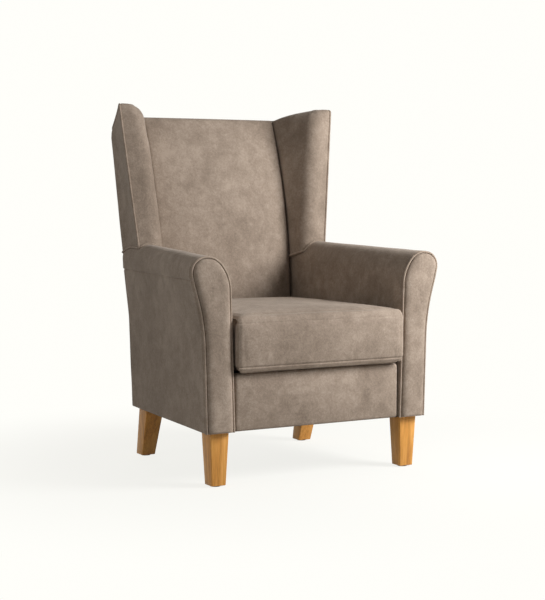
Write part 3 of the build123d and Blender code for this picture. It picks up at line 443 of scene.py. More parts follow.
def corner_arc(centre, radius, first, last, count):
    """Points on a circle after the first angle, up to the last, in degrees."""
    turn = np.radians(first + (last - first) * np.arange(1, count + 1) / count)
    return np.asarray(centre) + radius * np.column_stack([np.cos(turn), np.sin(turn)])


def arm_section(outer, inner, knots, flare, hem):
    """Points in (x, z) round a section of the right arm, from its outer foot over the roll."""
    low, counts = chair().overall.leg_height, SECTION_COUNTS
    rows = [np.array([(outer, low)])]
    if hem:
        rows = [corner_arc((outer - hem, low + hem), hem, -90, 0, counts["hem"])]
    rows.append(straight(rows[0][-1], flare, counts["outer"]))
    heading = math.atan2(flare[1] - low - hem, flare[0] - outer)
    here = flare
    for knot, count in zip(knots, counts["arcs"]):
        points, heading = tangent_arc(here, heading, knot, count)
        rows.append(points)
        here = knot
    rows.append(straight(here, (inner, low + hem), counts["inner"]))
    if hem:
        rows.append(corner_arc((inner + hem, low + hem), hem, 180, 270, counts["hem"]))
    return np.concatenate(rows)


def arm_front_section(hem=0.0):
    """Front section of the right arm."""
    arm, roll = chair().arm, chair().overall.width / 2
    inner = chair().seat.front_width / 2
    knots = [
        (roll - arm.neck_in, arm.height - arm.neck_drop),
        (roll, arm.height - arm.roll_drop),
        (roll - arm.crest_in, arm.height - arm.crest_drop),
        (inner + arm.shoulder_in, arm.height - arm.shoulder_drop),
        (inner + arm.hip_in, arm.height - arm.hip_drop),
    ]
    outer = inner + arm.base
    return arm_section(outer, inner, knots, (outer + arm.lean, arm.height - arm.flare_drop), hem)


def arm_rear_section(hem=0.0):
    """Rear section of the right arm."""
    arm = chair().arm
    inner = chair().seat.rear_width / 2
    outer = inner + arm.rear_base
    roll = outer + arm.rear_bulge
    top = arm.height + arm.rear_rise
    knots = [
        (roll - arm.rear_neck_in, top - arm.neck_drop),
        (roll, top - arm.roll_drop),
        (roll - arm.rear_crest_in, top - arm.rear_crest_drop),
        (inner + arm.rear_shoulder_in, top - arm.rear_shoulder_drop),
        (inner, top - arm.rear_hip_drop),
    ]
    return arm_section(outer, inner, knots, (outer + arm.rear_lean, arm.height - arm.flare_drop), hem)


def arm_top(x, y):
    """Height of the top of the right arm over a place in plan."""
    front, rear = arm_front_section(), arm_rear_section()
    section = front + along_arm(y) * (rear - front)
    widest = int(np.argmax(section[:, 0]))
    upper = section[widest:]
    upper = upper[upper[:, 1] > section[:, 1].max() - chair().arm.hip_drop]
    return float(np.interp(x, upper[::-1, 0], upper[::-1, 1]))


def softened(path, reach, step=0.002):
    """Evenly spaced points along a path, with its corners softened over a reach."""
    path = even_path(path, step)
    count = max(int(reach / step), 1)
    weights = np.hanning(2 * count + 3)[1:-1]
    padded = np.concatenate([np.repeat(path[:1], count, 0), path, np.repeat(path[-1:], count, 0)])
    return np.column_stack([np.convolve(line, weights / weights.sum(), "valid") for line in padded.T])


def unit(vectors):
    """The same directions with length 1."""
    return vectors / np.maximum(np.linalg.norm(vectors, axis=-1, keepdims=True), TINY)


def outline_normals(points, closed):
    """Unit vectors to the left of a line of points in a plane."""
    if closed:
        along = np.roll(points, -1, 0) - np.roll(points, 1, 0)
    else:
        along = np.gradient(points, axis=0)
    along = unit(along)
    return np.column_stack([-along[:, 1], along[:, 0]])


def wave(points, face):
    """Soft noise between -1 and 1 at each point of a padded face."""
    size, step = WAVES[face]
    seed = chair().seed + step
    shift = Vector((seed, 2 * seed, 3 * seed))
    return np.array([noise.noise(Vector(p) / size + shift) for p in points])


def smooth_step(value):
    """Smooth change from 0 to 1 as the value goes from 0 to 1."""
    value = np.clip(value, 0, 1)
    return value * value * (3 - 2 * value)


def new_object(name, points, faces, sharp=50):
    """Mesh object with faces turned outward and smooth shading up to the sharp angle."""
    mesh = bpy.data.meshes.new(name)
    mesh.from_pydata([tuple(p) for p in points], [], faces)
    work = bmesh.new()
    work.from_mesh(mesh)
    bmesh.ops.remove_doubles(work, verts=work.verts, dist=WELD)
    bmesh.ops.recalc_face_normals(work, faces=work.faces)
    work.to_mesh(mesh)
    work.free()
    mesh.shade_smooth()
    mesh.set_sharp_from_angle(angle=math.radians(sharp))
    made = bpy.data.objects.new(name, mesh)
    bpy.context.scene.collection.objects.link(made)
    return made


def ease_edges(mesh, width, segments, flat=0):
    """Round the edges of a mesh, after joining the faces that meet at less than the flat angle."""
    work = bmesh.new()
    work.from_mesh(mesh)
    if flat:
        bmesh.ops.remove_doubles(work, verts=work.verts, dist=WELD)
        bmesh.ops.dissolve_limit(work, angle_limit=flat, verts=work.verts, edges=work.edges)
    bmesh.ops.bevel(work, geom=list(work.edges), offset=width, segments=segments, profile=0.5, affect="EDGES")
    bmesh.ops.recalc_face_normals(work, faces=work.faces)
    work.to_mesh(mesh)
    work.free()
    mesh.shade_smooth()
    mesh.set_sharp_from_angle(angle=math.radians(40))


def skin_faces(rows, around, closed=True, capped=True, first=0):
    """Faces that join rows of points."""
    faces = []
    for row in range(rows - 1):
        low, high = first + row * around, first + (row + 1) * around
        for place in range(around if closed else around - 1):
            after = (place + 1) % around
            faces.append((low + place, low + after, high + after, high + place))
    if capped:
        faces.append(tuple(first + place for place in range(around)))
        faces.append(tuple(first + (rows - 1) * around + place for place in range(around)))
    return faces


def dress(made, body, material, replaced=()):
    """Give a piece its finish, its body and the frame nodes that it stands for."""
    made.data.materials.clear()
    made.data.materials.append(material)
    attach(made, body)
    if replaced:
        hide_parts(*replaced)
    return made


def upholster(made, replaced, body=CHAIR):
    """Give a padded piece the napped cover."""
    return dress(made, body, suede(), replaced)


def ring_frames(path):
    """Two directions across a path at each of its points, turning as little as possible."""
    along = unit(np.gradient(path, axis=0))
    side = np.cross(along[0], (0.0, 0.0, 1.0))
    if np.linalg.norm(side) < 0.1:
        side = np.cross(along[0], (1.0, 0.0, 0.0))
    sides = []
    for direction in along:
        side = unit(side - direction * np.dot(side, direction))
        sides.append(side)
    sides = np.array(sides)
    return sides, np.cross(along, sides)


def run_lengths(path):
    """Length of a line from its start to each of its points."""
    return np.concatenate([[0], np.cumsum(np.linalg.norm(np.diff(path, axis=0), axis=1))])


def even_path(path, step):
    """The same line with evenly spaced points."""
    path = np.asarray(path, float)
    runs = run_lengths(path)
    count = max(int(runs[-1] / step), 3)
    places = np.linspace(0, runs[-1], count + 1)
    return np.column_stack([np.interp(places, runs, line) for line in path.T])


def tube(path, radius, around=10):
    """Points and faces of a round tube along a path, closed at both ends."""
    sides, ups = ring_frames(path)
    turn = np.linspace(0, math.tau, around, endpoint=False)
    rings = [p + radius * (np.cos(turn)[:, None] * s + np.sin(turn)[:, None] * u)
             for p, s, u in zip(path, sides, ups)]
    return np.concatenate(rings), skin_faces(len(path), around)


def piping(name, path, replaced=()):
    """Sewn piping along a path."""
    radius = chair().overall.piping / 2
    path = even_path(path, radius)
    gather = chair().overall.gather * wave(path, "piping")[:, None]
    made = new_object(name, *tube(path + gather, radius))
    # The piping's nap is a lightened copy: a little wear and a painted highlight on the cord.
    dress(made, CHAIR, suede_piping(), replaced)


def distance_to_outline(points, outline):
    """Distance from each point to a closed line, in a plane."""
    best = np.full(len(points), np.inf)
    for a, b in zip(outline, np.roll(outline, -1, 0)):
        along = b - a
        run = np.clip(((points - a) @ along) / max(along @ along, TINY ** 2), 0, 1)
        best = np.minimum(best, np.linalg.norm(points - a - run[:, None] * along, axis=1))
    return best


def inside_outline(points, outline):
    """Whether each point lies inside a closed line."""
    x, y = points[:, 0], points[:, 1]
    inside = np.zeros(len(points), bool)
    for a, b in zip(outline, np.roll(outline, -1, 0)):
        if a[1] == b[1]:
            continue
        crosses = (a[1] > y) != (b[1] > y)
        inside ^= crosses & (x < (b[0] - a[0]) * (y - a[1]) / (b[1] - a[1]) + a[0])
    return inside


def filled_outline(outline, rings, spacing):
    """Points inside a closed line, in rings near it and a grid further in, and their triangles."""
    normals = outline_normals(outline, closed=True)
    trial = outline + normals * spacing / 10
    if inside_outline(trial, outline).mean() < 0.5:
        normals = -normals
    places = [outline]
    for ring in rings:
        moved = outline + normals * ring
        keep = inside_outline(moved, outline) & (distance_to_outline(moved, outline) > RING_FREE * ring)
        places.append(moved[keep])
    low, high = outline.min(0), outline.max(0)
    across = np.arange(low[0], high[0], spacing)
    upward = np.arange(low[1], high[1], spacing)
    grid = np.array([(x, y) for x in across for y in upward])
    grid = grid[inside_outline(grid, outline)]
    grid = grid[distance_to_outline(grid, outline) > rings[-1] + spacing / 2]
    places.append(grid)
    flat = np.concatenate(places)
    edges = [(i, (i + 1) % len(outline)) for i in range(len(outline))]
    result = delaunay_2d_cdt([Vector(p) for p in flat], edges, [], 1, 1e-7)
    return np.array([tuple(p) for p in result[0]]), [tuple(face) for face in result[2]]


def crowned_panel(name, outline, height, place, depth):
    """Padded panel over a closed outline: height gives its swell from the distance to the edge."""
    flat, faces = filled_outline(outline, PANEL_RINGS, PANEL_SPACING)
    swell = height(flat, distance_to_outline(flat, outline))
    top = [place(u, v, w) for (u, v), w in zip(flat, swell)]
    edge = [int(np.argmin(np.linalg.norm(flat - p, axis=1))) for p in outline]
    count = len(top)
    back = [place(u, v, -depth) for u, v in outline]
    around = len(outline)
    walls = [(edge[i], edge[(i + 1) % around], count + (i + 1) % around, count + i) for i in range(around)]
    return new_object(name, top + back, faces + walls + [tuple(count + i for i in range(around))], sharp=60)


def round_edge(distance, run):
    """Share of the full swell at a distance from a panel's edge."""
    u = np.clip(distance / run, 0, 1)
    return np.sqrt(np.maximum(1 - (1 - u) ** 2, 0))


def mirrored(points, sign):
    """The points, or their mirror image on the left."""
    return np.asarray(points) * (sign, 1, 1)


class WINGBACK_OT_arms(bpy.types.Operator):
    """Build the padded arms with the seam along their outside"""
    bl_idname = "wingback.arms"
    bl_label = "Padded Arms"

    # Rows near each end, share of the length at which even rows begin, and the number of those.
    END_STEPS, END_SHARE, MIDDLE = (0.0, 0.0012, 0.003, 0.0055, 0.009), 0.02, 52
    # Rounds that fit the arm's length to the outside back, and weight of the fine waves.
    ROUNDS, FINE = 8, 0.4

    def execute(self, context):
        for side, sign in SIDES.items():
            self.make_arm(side, sign)
        return {"FINISHED"}

    def stations(self):
        """Shares of the arm's length, closer at both ends."""
        ends = np.array(self.END_STEPS) / chair().arm.run
        middle = np.linspace(self.END_SHARE, 1 - self.END_SHARE, self.MIDDLE)
        return np.concatenate([ends, middle, 1 - ends[::-1]])

    def rows(self):
        """Rows of points along the right arm, from its front to the outside back."""
        hem = chair().overall.hem
        front, rear = arm_front_section(hem), arm_rear_section(hem)
        start, end = arm_start(), arm_end()
        reach = np.ones(len(front))
        for _ in range(self.ROUNDS):
            z = front[:, 1] + reach * (rear[:, 1] - front[:, 1])
            reach = (rear_face(z) - chair().overall.cover - start) / (end - start)
        inward = outline_normals(front, closed=False)
        rows = []
        for part in self.stations():
            t = part * reach
            section = front + t[:, None] * (rear - front)
            to_end = min(part, 1 - part) * chair().arm.run
            tuck = chair().arm.end_tuck * (1 - smooth_step(to_end / chair().arm.end_run))
            section = section + inward * tuck
            rows.append(np.column_stack([section[:, 0], start + t * (end - start), section[:, 1]]))
        return np.array(rows)

    def sew(self, rows, sign):
        """Press the outer seam into the cover and let the padding wave softly."""
        arm = chair().arm
        section = rows[len(rows) // 2][:, [0, 2]]
        out = -outline_normals(section, closed=False)
        outer = np.arange(rows.shape[1]) < int(np.argmax(section[:, 1]))
        above = rows[:, :, 2] - arm.seam_height
        groove = -arm.seam_depth * np.exp(-(above / arm.seam_width) ** 2)
        lip = arm.seam_lip * smooth_step(above / arm.seam_width) * (1 - smooth_step(above / arm.lip_run))
        flat = mirrored(rows.reshape(-1, 3), sign)
        soft = wave(flat, "arm") + self.FINE * wave(flat, "arm_fine")
        push = np.where(outer, groove + lip, 0) + chair().overall.unevenness * soft.reshape(rows.shape[:2])
        lifted = rows[:, :, 2] > chair().overall.leg_height + arm.level_foot
        rows[:, :, 0] += push * out[None, :, 0]
        rows[:, :, 2] += push * out[None, :, 1] * lifted
        return rows

    def make_arm(self, side, sign):
        rows = self.sew(self.rows(), sign)
        points = mirrored(rows.reshape(-1, 3), sign)
        made = new_object(f"padded_arm_{side}", points, skin_faces(*rows.shape[:2]))
        nodes = [f"arm_cover_inside_{side}", f"arm_cover_outside_{side}", f"arm_pad_{side}"]
        upholster(made, nodes)


class WINGBACK_OT_arm_fronts(bpy.types.Operator):
    """Build the padded front panels of the arms and their piping"""
    bl_idname = "wingback.arm_fronts"
    bl_label = "Arm Fronts"

    # Points along the panel's lower edge, and how far below it the line of its sides closes.
    BASE_COUNT, FAR_BELOW = 14, 0.2

    def execute(self, context):
        for side, sign in SIDES.items():
            self.make_panel(side, sign)
            self.make_piping(side, sign)
        return {"FINISHED"}

    def inset(self, amount):
        """Front section moved in at its sides and top, standing on the arm's underside."""
        section = arm_front_section()
        return section + outline_normals(section, closed=False) * amount

    def make_panel(self, side, sign):
        arm, low = chair().arm, chair().overall.leg_height
        section = self.inset(arm_start() - front_plane())
        outline = np.concatenate([section, straight(section[-1], section[0], self.BASE_COUNT)[:-1]])
        # A line that closes far below, so that the panel's lower edge doesn't count as a side.
        sides_only = np.vstack([section, section[0] - (0, self.FAR_BELOW)])
        plane = front_plane() + chair().overall.cover
        depth = arm_start() - plane

        def height(flat, distance):
            sides = round_edge(distance_to_outline(flat, sides_only), arm.panel_run)
            foot = round_edge(flat[:, 1] - low, arm.panel_foot)
            soft = wave(np.column_stack([flat[:, 0] * sign, flat[:, 1], np.zeros(len(flat))]), "panel")
            full = chair().overall.cover + arm.panel_crown
            return np.minimum(sides, foot) * (full + chair().overall.unevenness * soft)

        def place(u, v, w):
            return (sign * u, plane - w, v)

        made = crowned_panel(f"arm_front_{side}", outline, height, place, depth)
        upholster(made, [f"arm_front_panel_{side}"])

    def make_piping(self, side, sign):
        radius = chair().overall.piping / 2
        section = self.inset(radius)
        path = np.column_stack([section[:, 0], np.full(len(section), front_plane() + radius), section[:, 1]])
        piping(f"arm_piping_{side}", mirrored(path, sign), [f"arm_front_welt_{side}"])


class WINGBACK_OT_wings(bpy.types.Operator):
    """Build the padded wings, the piping on their edges and the piping round their feet"""
    bl_idname = "wingback.wings"
    bl_label = "Wings"

    # Points on each stretch of a plan.
    COUNTS = {"side": 6, "inner": 24, "roll": 20, "lip": 8, "outer": 26, "corner": 8, "rear": 10}
    # Number of plans, and how far they reach below the arm's top and above the tip.
    LEVELS, BELOW_ARM, ABOVE_TIP = 60, 0.08, 0.02
    # Rows up the wing and up its piping, and points on the slope and the turn of its top.
    ROWS, EDGE_ROWS, FALL_COUNT, TURN_COUNT = 64, 40, 24, 16
    # Rounds that find the foot on the arm, and halvings that find the top.
    FOOT_ROUNDS, HALVINGS = 4, 30

    def execute(self, context):
        low, high = chair().arm.height - self.BELOW_ARM, chair().overall.height + self.ABOVE_TIP
        self.levels = np.linspace(low, high, self.LEVELS)
        self.rings = np.array([self.ring(z) for z in self.levels])
        for side, sign in SIDES.items():
            self.make_wing(side, sign)
            self.make_edge_piping(side, sign)
            self.make_foot_piping(side, sign)
        return {"FINISHED"}

    def climb(self, z):
        """Share of the way up the piped front edge at height z."""
        foot = chair().wing.foot_height
        return (z - foot) / (chair().overall.height - foot)

    def edge(self, z):
        """Plan place of the piped front edge at height z."""
        wing, climb = chair().wing, self.climb(z)
        x = wing.foot_half_width + climb * (wing.tip_half_width - wing.foot_half_width)
        setback = wing.foot_setback + climb * (wing.tip_setback - wing.foot_setback)
        return np.array([x, front_plane() + setback])

    def ring(self, z):
        """Plan of the right wing at height z, from its inner rear corner round its front."""
        wing, counts = chair().wing, self.COUNTS
        inner, rear, edge = chair().seat.rear_width / 2, float(rear_face(z)), self.edge(z)
        thickness = wing.foot_thickness + self.climb(z) * (wing.tip_thickness - wing.foot_thickness)
        corner = edge - (thickness, wing.roll_forward)
        fold = np.array([inner, float(back_face(z))])
        to_fold, to_edge = unit(fold - corner), unit(edge - corner)
        half = math.acos(float(np.clip(to_fold @ to_edge, -1, 1))) / 2
        run = wing.roll_radius / math.tan(half)
        start, end = corner + to_fold * run, corner + to_edge * run
        roll, _ = tangent_arc(start, math.atan2(-to_fold[1], -to_fold[0]), end, counts["roll"])
        outside = self.outer_face(edge, np.array([float(rear_half_width(z)), rear]))
        return np.concatenate([
            straight((inner, rear - chair().overall.cover), fold, counts["side"]),
            self.plumped(fold, start, counts["inner"], z),
            roll,
            straight(end, edge, counts["lip"]),
            outside,
            straight(outside[-1], (inner, rear), counts["rear"]),
        ])

    def outer_face(self, edge, outer):
        """Hollow outer face of the wing from its piped edge round its outer rear corner."""
        wing, counts = chair().wing, self.COUNTS
        before = outer + wing.rear_corner * unit(edge - outer)
        after = outer - (wing.rear_corner, 0)
        t = shares(counts["outer"])[:, None]
        hollow = edge + t * (before - edge) - np.array([4 * wing.hollow, 0]) * t * (1 - t)
        t = shares(counts["corner"])[:, None]
        turn = (1 - t) ** 2 * before + 2 * t * (1 - t) * outer + t ** 2 * after
        return np.concatenate([hollow, turn])

    def plumped(self, fold, end, count, z):
        """Inner face of the wing from its crease to its roll at height z, swelling out of the crease."""
        wing = chair().wing
        line = straight(fold, end, count)
        along = unit(np.subtract(end, fold))
        gap = np.linalg.norm(line - fold, axis=1)
        swell = wing.inner_swell * round_edge(gap, wing.swell_run) * (1 - smooth_step(gap / gap[-1]))
        swell = swell * smooth_step((chair().overall.height - wing.top_drop - z) / wing.top_drop)
        return line + np.array([along[1], -along[0]]) * swell[:, None]

    def top(self, plan):
        """Height of the wing's top in plan: its ridge falls to the back, its outer edge to the shoulder."""
        wing, back, height = chair().wing, chair().back, chair().overall.height
        x, y = plan[:, 0], plan[:, 1]
        tip_y = front_plane() + wing.tip_setback
        shoulder = (float(rear_face(wing.shoulder_height)) - wing.shoulder_forward, wing.shoulder_height)
        low = wing.shoulder_height - wing.shoulder_turn
        slope, heading = tangent_arc((tip_y + wing.level_run, height), -wing.fall, shoulder, self.FALL_COUNT)
        turn, _ = tangent_arc(shoulder, heading, (float(rear_face(low)), low), self.TURN_COUNT)
        line = np.concatenate([[(tip_y + wing.level_run, height)], slope, turn])
        outer = np.interp(y, line[:, 0], line[:, 1])
        share_back = np.clip((y - tip_y) / (float(back_face(back.height)) - tip_y), 0, 1)
        ridge = height - (height - back.height) * share_back ** wing.ridge_bend
        widths = [wing.tip_half_width, float(rear_half_width(shoulder[1]))]
        edge_x = np.interp(y, [tip_y, shoulder[0]], widths)
        return outer + smooth_step((edge_x - x) / wing.ridge_run) * np.maximum(ridge - outer, 0)

    def plan_at(self, z):
        """Plan place of each line of the ring at its own height."""
        x = [np.interp(h, self.levels, self.rings[:, i, 0]) for i, h in enumerate(z)]
        y = [np.interp(h, self.levels, self.rings[:, i, 1]) for i, h in enumerate(z)]
        return np.column_stack([x, y])

    def feet(self):
        """Height of the seam round the wing's foot and of the wing's lower edge on each line of the ring."""
        wing = chair().wing
        fold, edge = self.COUNTS["side"] - 1, self.edge_index()
        on_arm = np.full(self.rings.shape[1], chair().arm.height)
        for _ in range(self.FOOT_ROUNDS):
            plan = self.plan_at(on_arm)
            on_arm = np.array([arm_top(x, y) for x, y in plan])
        runs = run_lengths(plan)
        climb = np.clip((runs - runs[fold]) / (runs[edge] - runs[fold]), 0, 1)
        climb[edge:] = 1 - smooth_step((runs[edge:] - runs[edge]) / wing.foot_fall)
        at_edge = on_arm[edge] + chair().overall.piping / 2
        seam = np.maximum(wing.fold_foot + climb * (at_edge - wing.fold_foot), on_arm)
        hanging = seam > on_arm + 2 * wing.sunk
        return seam, np.where(hanging, seam - chair().overall.piping / 4, on_arm - wing.sunk)

    def tops(self):
        """Height of the top over each line of the ring, found by halving."""
        low = np.full(self.rings.shape[1], chair().arm.height)
        high = np.full(self.rings.shape[1], chair().overall.height)
        for _ in range(self.HALVINGS):
            middle = (low + high) / 2
            under = self.top(self.plan_at(middle)) > middle
            low = np.where(under, middle, low)
            high = np.where(under, high, middle)
        return low

    def rounding(self, rim):
        """Width and drop of the rounding at the top of each line of the ring."""
        wing, counts = chair().wing, self.COUNTS
        runs = run_lengths(rim)
        edge = self.edge_index()
        from_edge = smooth_step(np.abs(runs - runs[edge]) / wing.top_blend)
        from_fold = smooth_step((runs - runs[counts["side"] - 1]) / (2 * wing.top_blend))
        inner = np.arange(len(rim)) <= edge
        full = np.where(inner, from_edge * from_fold, 0)
        width = wing.edge_round + full * (wing.top_width - wing.edge_round)
        drop = wing.edge_round + full * (wing.top_drop - wing.edge_round)
        return width, drop

    def edge_index(self):
        """Line of the ring that runs along the piped edge."""
        counts = self.COUNTS
        return counts["side"] + counts["inner"] + counts["roll"] + counts["lip"] - 1

    def rows(self, drop):
        """Rows of points up the right wing, to the rim of its rounded top."""
        foot, top = self.feet()[1], self.tops()
        rows = []
        for climb in np.linspace(0, 1, self.ROWS):
            z = foot + climb * (top - drop - foot)
            rows.append(np.column_stack([self.plan_at(z), z]))
        return np.array(rows)

    def crest(self, spots, rim, width, drop):
        """Height of the rounded top over places in plan."""
        lowered = np.zeros(len(spots))
        edge = self.edge_index()
        for part in (slice(0, edge + 1), slice(edge, len(rim))):
            line = rim[part]
            gaps = np.linalg.norm(spots[:, None] - line[None], axis=2)
            near = gaps.argmin(1)
            gap = gaps[np.arange(len(spots)), near]
            round_off = drop[part][near] * (1 - round_edge(gap, width[part][near]))
            lowered = np.maximum(lowered, round_off)
        return self.top(spots) - lowered

    def make_wing(self, side, sign):
        width, drop = self.rounding(self.plan_at(self.tops()))
        rows = self.rows(drop)
        count, around = rows.shape[:2]
        rim = rows[-1][:, :2]
        spots, triangles = filled_outline(rim, TOP_RINGS, TOP_SPACING)
        heights = self.crest(spots, rim, width, drop)
        faces = skin_faces(count, around, capped=False)
        last, middle = (count - 1) * around, count * around
        faces += [(place, (place + 1) % around, middle) for place in range(around)]
        index = []
        points = [*rows.reshape(-1, 3), (*rows[0][:, :2].mean(0), rows[0][:, 2].min())]
        for spot, height in zip(spots, heights):
            gap = np.linalg.norm(rim - spot, axis=1)
            if gap.min() < WELD:
                index.append(last + int(gap.argmin()))
            else:
                index.append(len(points))
                points.append((*spot, height))
        faces += [tuple(index[i] for i in triangle) for triangle in triangles]
        points = mirrored(points, sign)
        soft = chair().overall.unevenness * wave(points, "wing")
        points[:, 0] += soft * sign
        made = new_object(f"wing_{side}", points, faces, sharp=60)
        nodes = [f"wing_cover_inside_{side}", f"wing_cover_outside_{side}", f"wing_pad_{side}"]
        upholster(made, nodes)

    def make_edge_piping(self, side, sign):
        """Piping up the front edge and over the tip, which dives into the cover along the outer top edge."""
        wing, first = chair().wing, self.edge_index()
        top, foot = self.tops(), self.feet()[0]
        radius = chair().overall.piping / 2
        levels = np.linspace(foot[first] - radius, top[first] - 2 * radius, self.EDGE_ROWS)
        path = [(*self.edge(z), z) for z in levels]
        plan = self.plan_at(top)
        for place in range(first, first + self.COUNTS["outer"] - 1):
            above = smooth_step((top[place] - wing.shoulder_height) / wing.sunk)
            if above > 0:
                dive = 2 * radius * (1 - above)
                path.append((plan[place, 0] - radius / 2 - dive, plan[place, 1], top[place] - radius - dive))
        path = softened(np.array(path), wing.tip_round)
        piping(f"wing_piping_{side}", mirrored(path, sign), [f"wing_welt_{side}"])

    def make_foot_piping(self, side, sign):
        """Piping in the seam between the wing and the arm."""
        counts, size = self.COUNTS, chair().overall.piping
        last = sum(counts.values()) - counts["rear"] - counts["corner"]
        foot = self.feet()[0]
        plan = self.plan_at(foot)
        plan = plan - outline_normals(plan, closed=True) * size / 3
        path = np.column_stack([plan, foot + size / 4])[counts["side"]:last]
        fold = (chair().seat.rear_width / 2, float(back_face(path[0, 2])), path[0, 2])
        path = softened(np.concatenate([[fold], path]), size)
        piping(f"wing_foot_piping_{side}", mirrored(path, sign))


class WINGBACK_OT_back(bpy.types.Operator):
    """Build the padded inside back and the outside back cover"""
    bl_idname = "wingback.back"
    bl_label = "Back"

    # Points up the profile, down its rear and over its top, and their spacing before and in a row.
    LEVELS, REAR_LEVELS, TOP_COUNT = 240, 48, 40
    PROFILE_STEP, ROW_STEP = 0.006, 0.004
    # Rows in each rounded side, and between them.
    SIDE_COUNT, MIDDLE_COUNT = 9, 64
    # Points in a row of the outside back, its even rows, its rows at the hem and the start of the even ones.
    OUTSIDE_COUNT, OUTSIDE_ROWS = 81, 70
    HEM_STEPS, HEM_END = (0, 0.0015, 0.004), 0.01
    # Weight of the fine waves, and height of the waves inside and outside against other faces.
    FINE, INSIDE_WAVES, OUTSIDE_WAVES = 0.35, 1.5, 0.7

    def execute(self, context):
        self.make_inside()
        self.make_outside()
        return {"FINISHED"}

    def profile(self, across):
        """Side profile of the inside back at a share of its half width, in (y, z)."""
        back, seat = chair().back, chair().seat
        bulge = 1 - across ** 2
        z = np.linspace(seat.deck_height, back.height, self.LEVELS)
        climb = np.clip((z - back.face_straight_to) / (back.height - back.face_straight_to), 0, 1)
        crown = bulge * (back.crown + climb * (back.top_crown - back.crown))
        face = np.column_stack([back_face(z) - crown, z])
        rear = np.column_stack([rear_face(z[::-1]), z[::-1]])[:self.REAR_LEVELS]
        top = straight(face[-1], rear[0], self.TOP_COUNT)[:-1]
        return even_path(softened(np.concatenate([face, top, rear]), back.top_roll), self.PROFILE_STEP)

    def row(self, x, line, count):
        """One upright row of points on the inside back, rounded into the crease near its sides."""
        back, half = chair().back, chair().seat.rear_width / 2
        line = even_path(line, self.ROW_STEP)
        places = np.linspace(0, len(line) - 1, count)
        y, z = (np.interp(places, np.arange(len(line)), part) for part in line.T)
        over = max(abs(x) - (half - back.side_roll), 0) / back.side_roll
        ahead = smooth_step((rear_face(z) - y) / back.side_fade)
        y = y + ahead * back.side_roll * (1 - math.sqrt(max(1 - over ** 2, 0)))
        return np.column_stack([np.full(count, x), y, z])

    def make_inside(self):
        back, half = chair().back, chair().seat.rear_width / 2
        steps = half - back.side_roll * (1 - np.sin(np.linspace(0, math.pi / 2, self.SIDE_COUNT)))
        middle = np.linspace(-steps[0], steps[0], self.MIDDLE_COUNT)[1:-1]
        across = np.concatenate([-steps[::-1], middle, steps])
        lines = [self.profile(x / half) for x in across]
        count = min(len(line) for line in lines)
        rows = np.array([self.row(x, line, count) for x, line in zip(across, lines)])
        flat = rows.reshape(-1, 3)
        soft = wave(flat, "back") + self.FINE * wave(flat, "back_fine")
        fade = np.clip((half - np.abs(flat[:, 0])) / back.soft_edge, 0, 1)
        flat[:, 1] -= self.INSIDE_WAVES * chair().overall.unevenness * soft * fade
        made = new_object("inside_back", flat, skin_faces(*rows.shape[:2]))
        upholster(made, ["back_cover_inside", "back_pad"])

    def outside_row(self, z):
        """One level row of points on the outside back at height z."""
        back, cover = chair().back, chair().overall.cover
        width = float(rear_half_width(z)) - chair().wing.rear_corner / 3
        x = width * np.sin(np.linspace(-math.pi / 2, math.pi / 2, self.OUTSIDE_COUNT))
        edge = np.minimum(width - np.abs(x), min(z - chair().overall.leg_height, back.outside_top - z))
        swell = round_edge(edge, back.outside_edge) * cover
        swell = swell + back.outside_swell * smooth_step(edge / back.outside_run)
        return np.column_stack([x, float(rear_face(z)) - cover + swell, np.full(len(x), z)])

    def make_outside(self):
        low, top = chair().overall.leg_height, chair().back.outside_top
        above_hem = np.linspace(low + self.HEM_END, top, self.OUTSIDE_ROWS)
        heights = np.concatenate([low + np.array(self.HEM_STEPS), above_hem])
        rows = np.array([self.outside_row(z) for z in heights])
        flat = rows.reshape(-1, 3)
        flat[:, 1] += self.OUTSIDE_WAVES * chair().overall.unevenness * wave(flat, "outside_back")
        inner = flat - (0, chair().overall.cover, 0)
        count, around = rows.shape[:2]
        faces = skin_faces(count, around, closed=False, capped=False)
        faces += skin_faces(count, around, closed=False, capped=False, first=len(flat))
        faces += self.rim_faces(count, around)
        made = new_object("outside_back", np.concatenate([flat, inner]), faces)
        upholster(made, ["back_cover_outside"])

    def rim_faces(self, count, around):
        """Faces between the outer and the inner sheet round their edge."""
        total = count * around
        rim = list(range(around))
        rim += [r * around + around - 1 for r in range(1, count)]
        rim += [(count - 1) * around + c for c in range(around - 2, -1, -1)]
        rim += [r * around for r in range(count - 2, 0, -1)]
        pairs = zip(rim, rim[1:] + rim[:1])
        return [(a, b, b + total, a + total) for a, b in pairs]


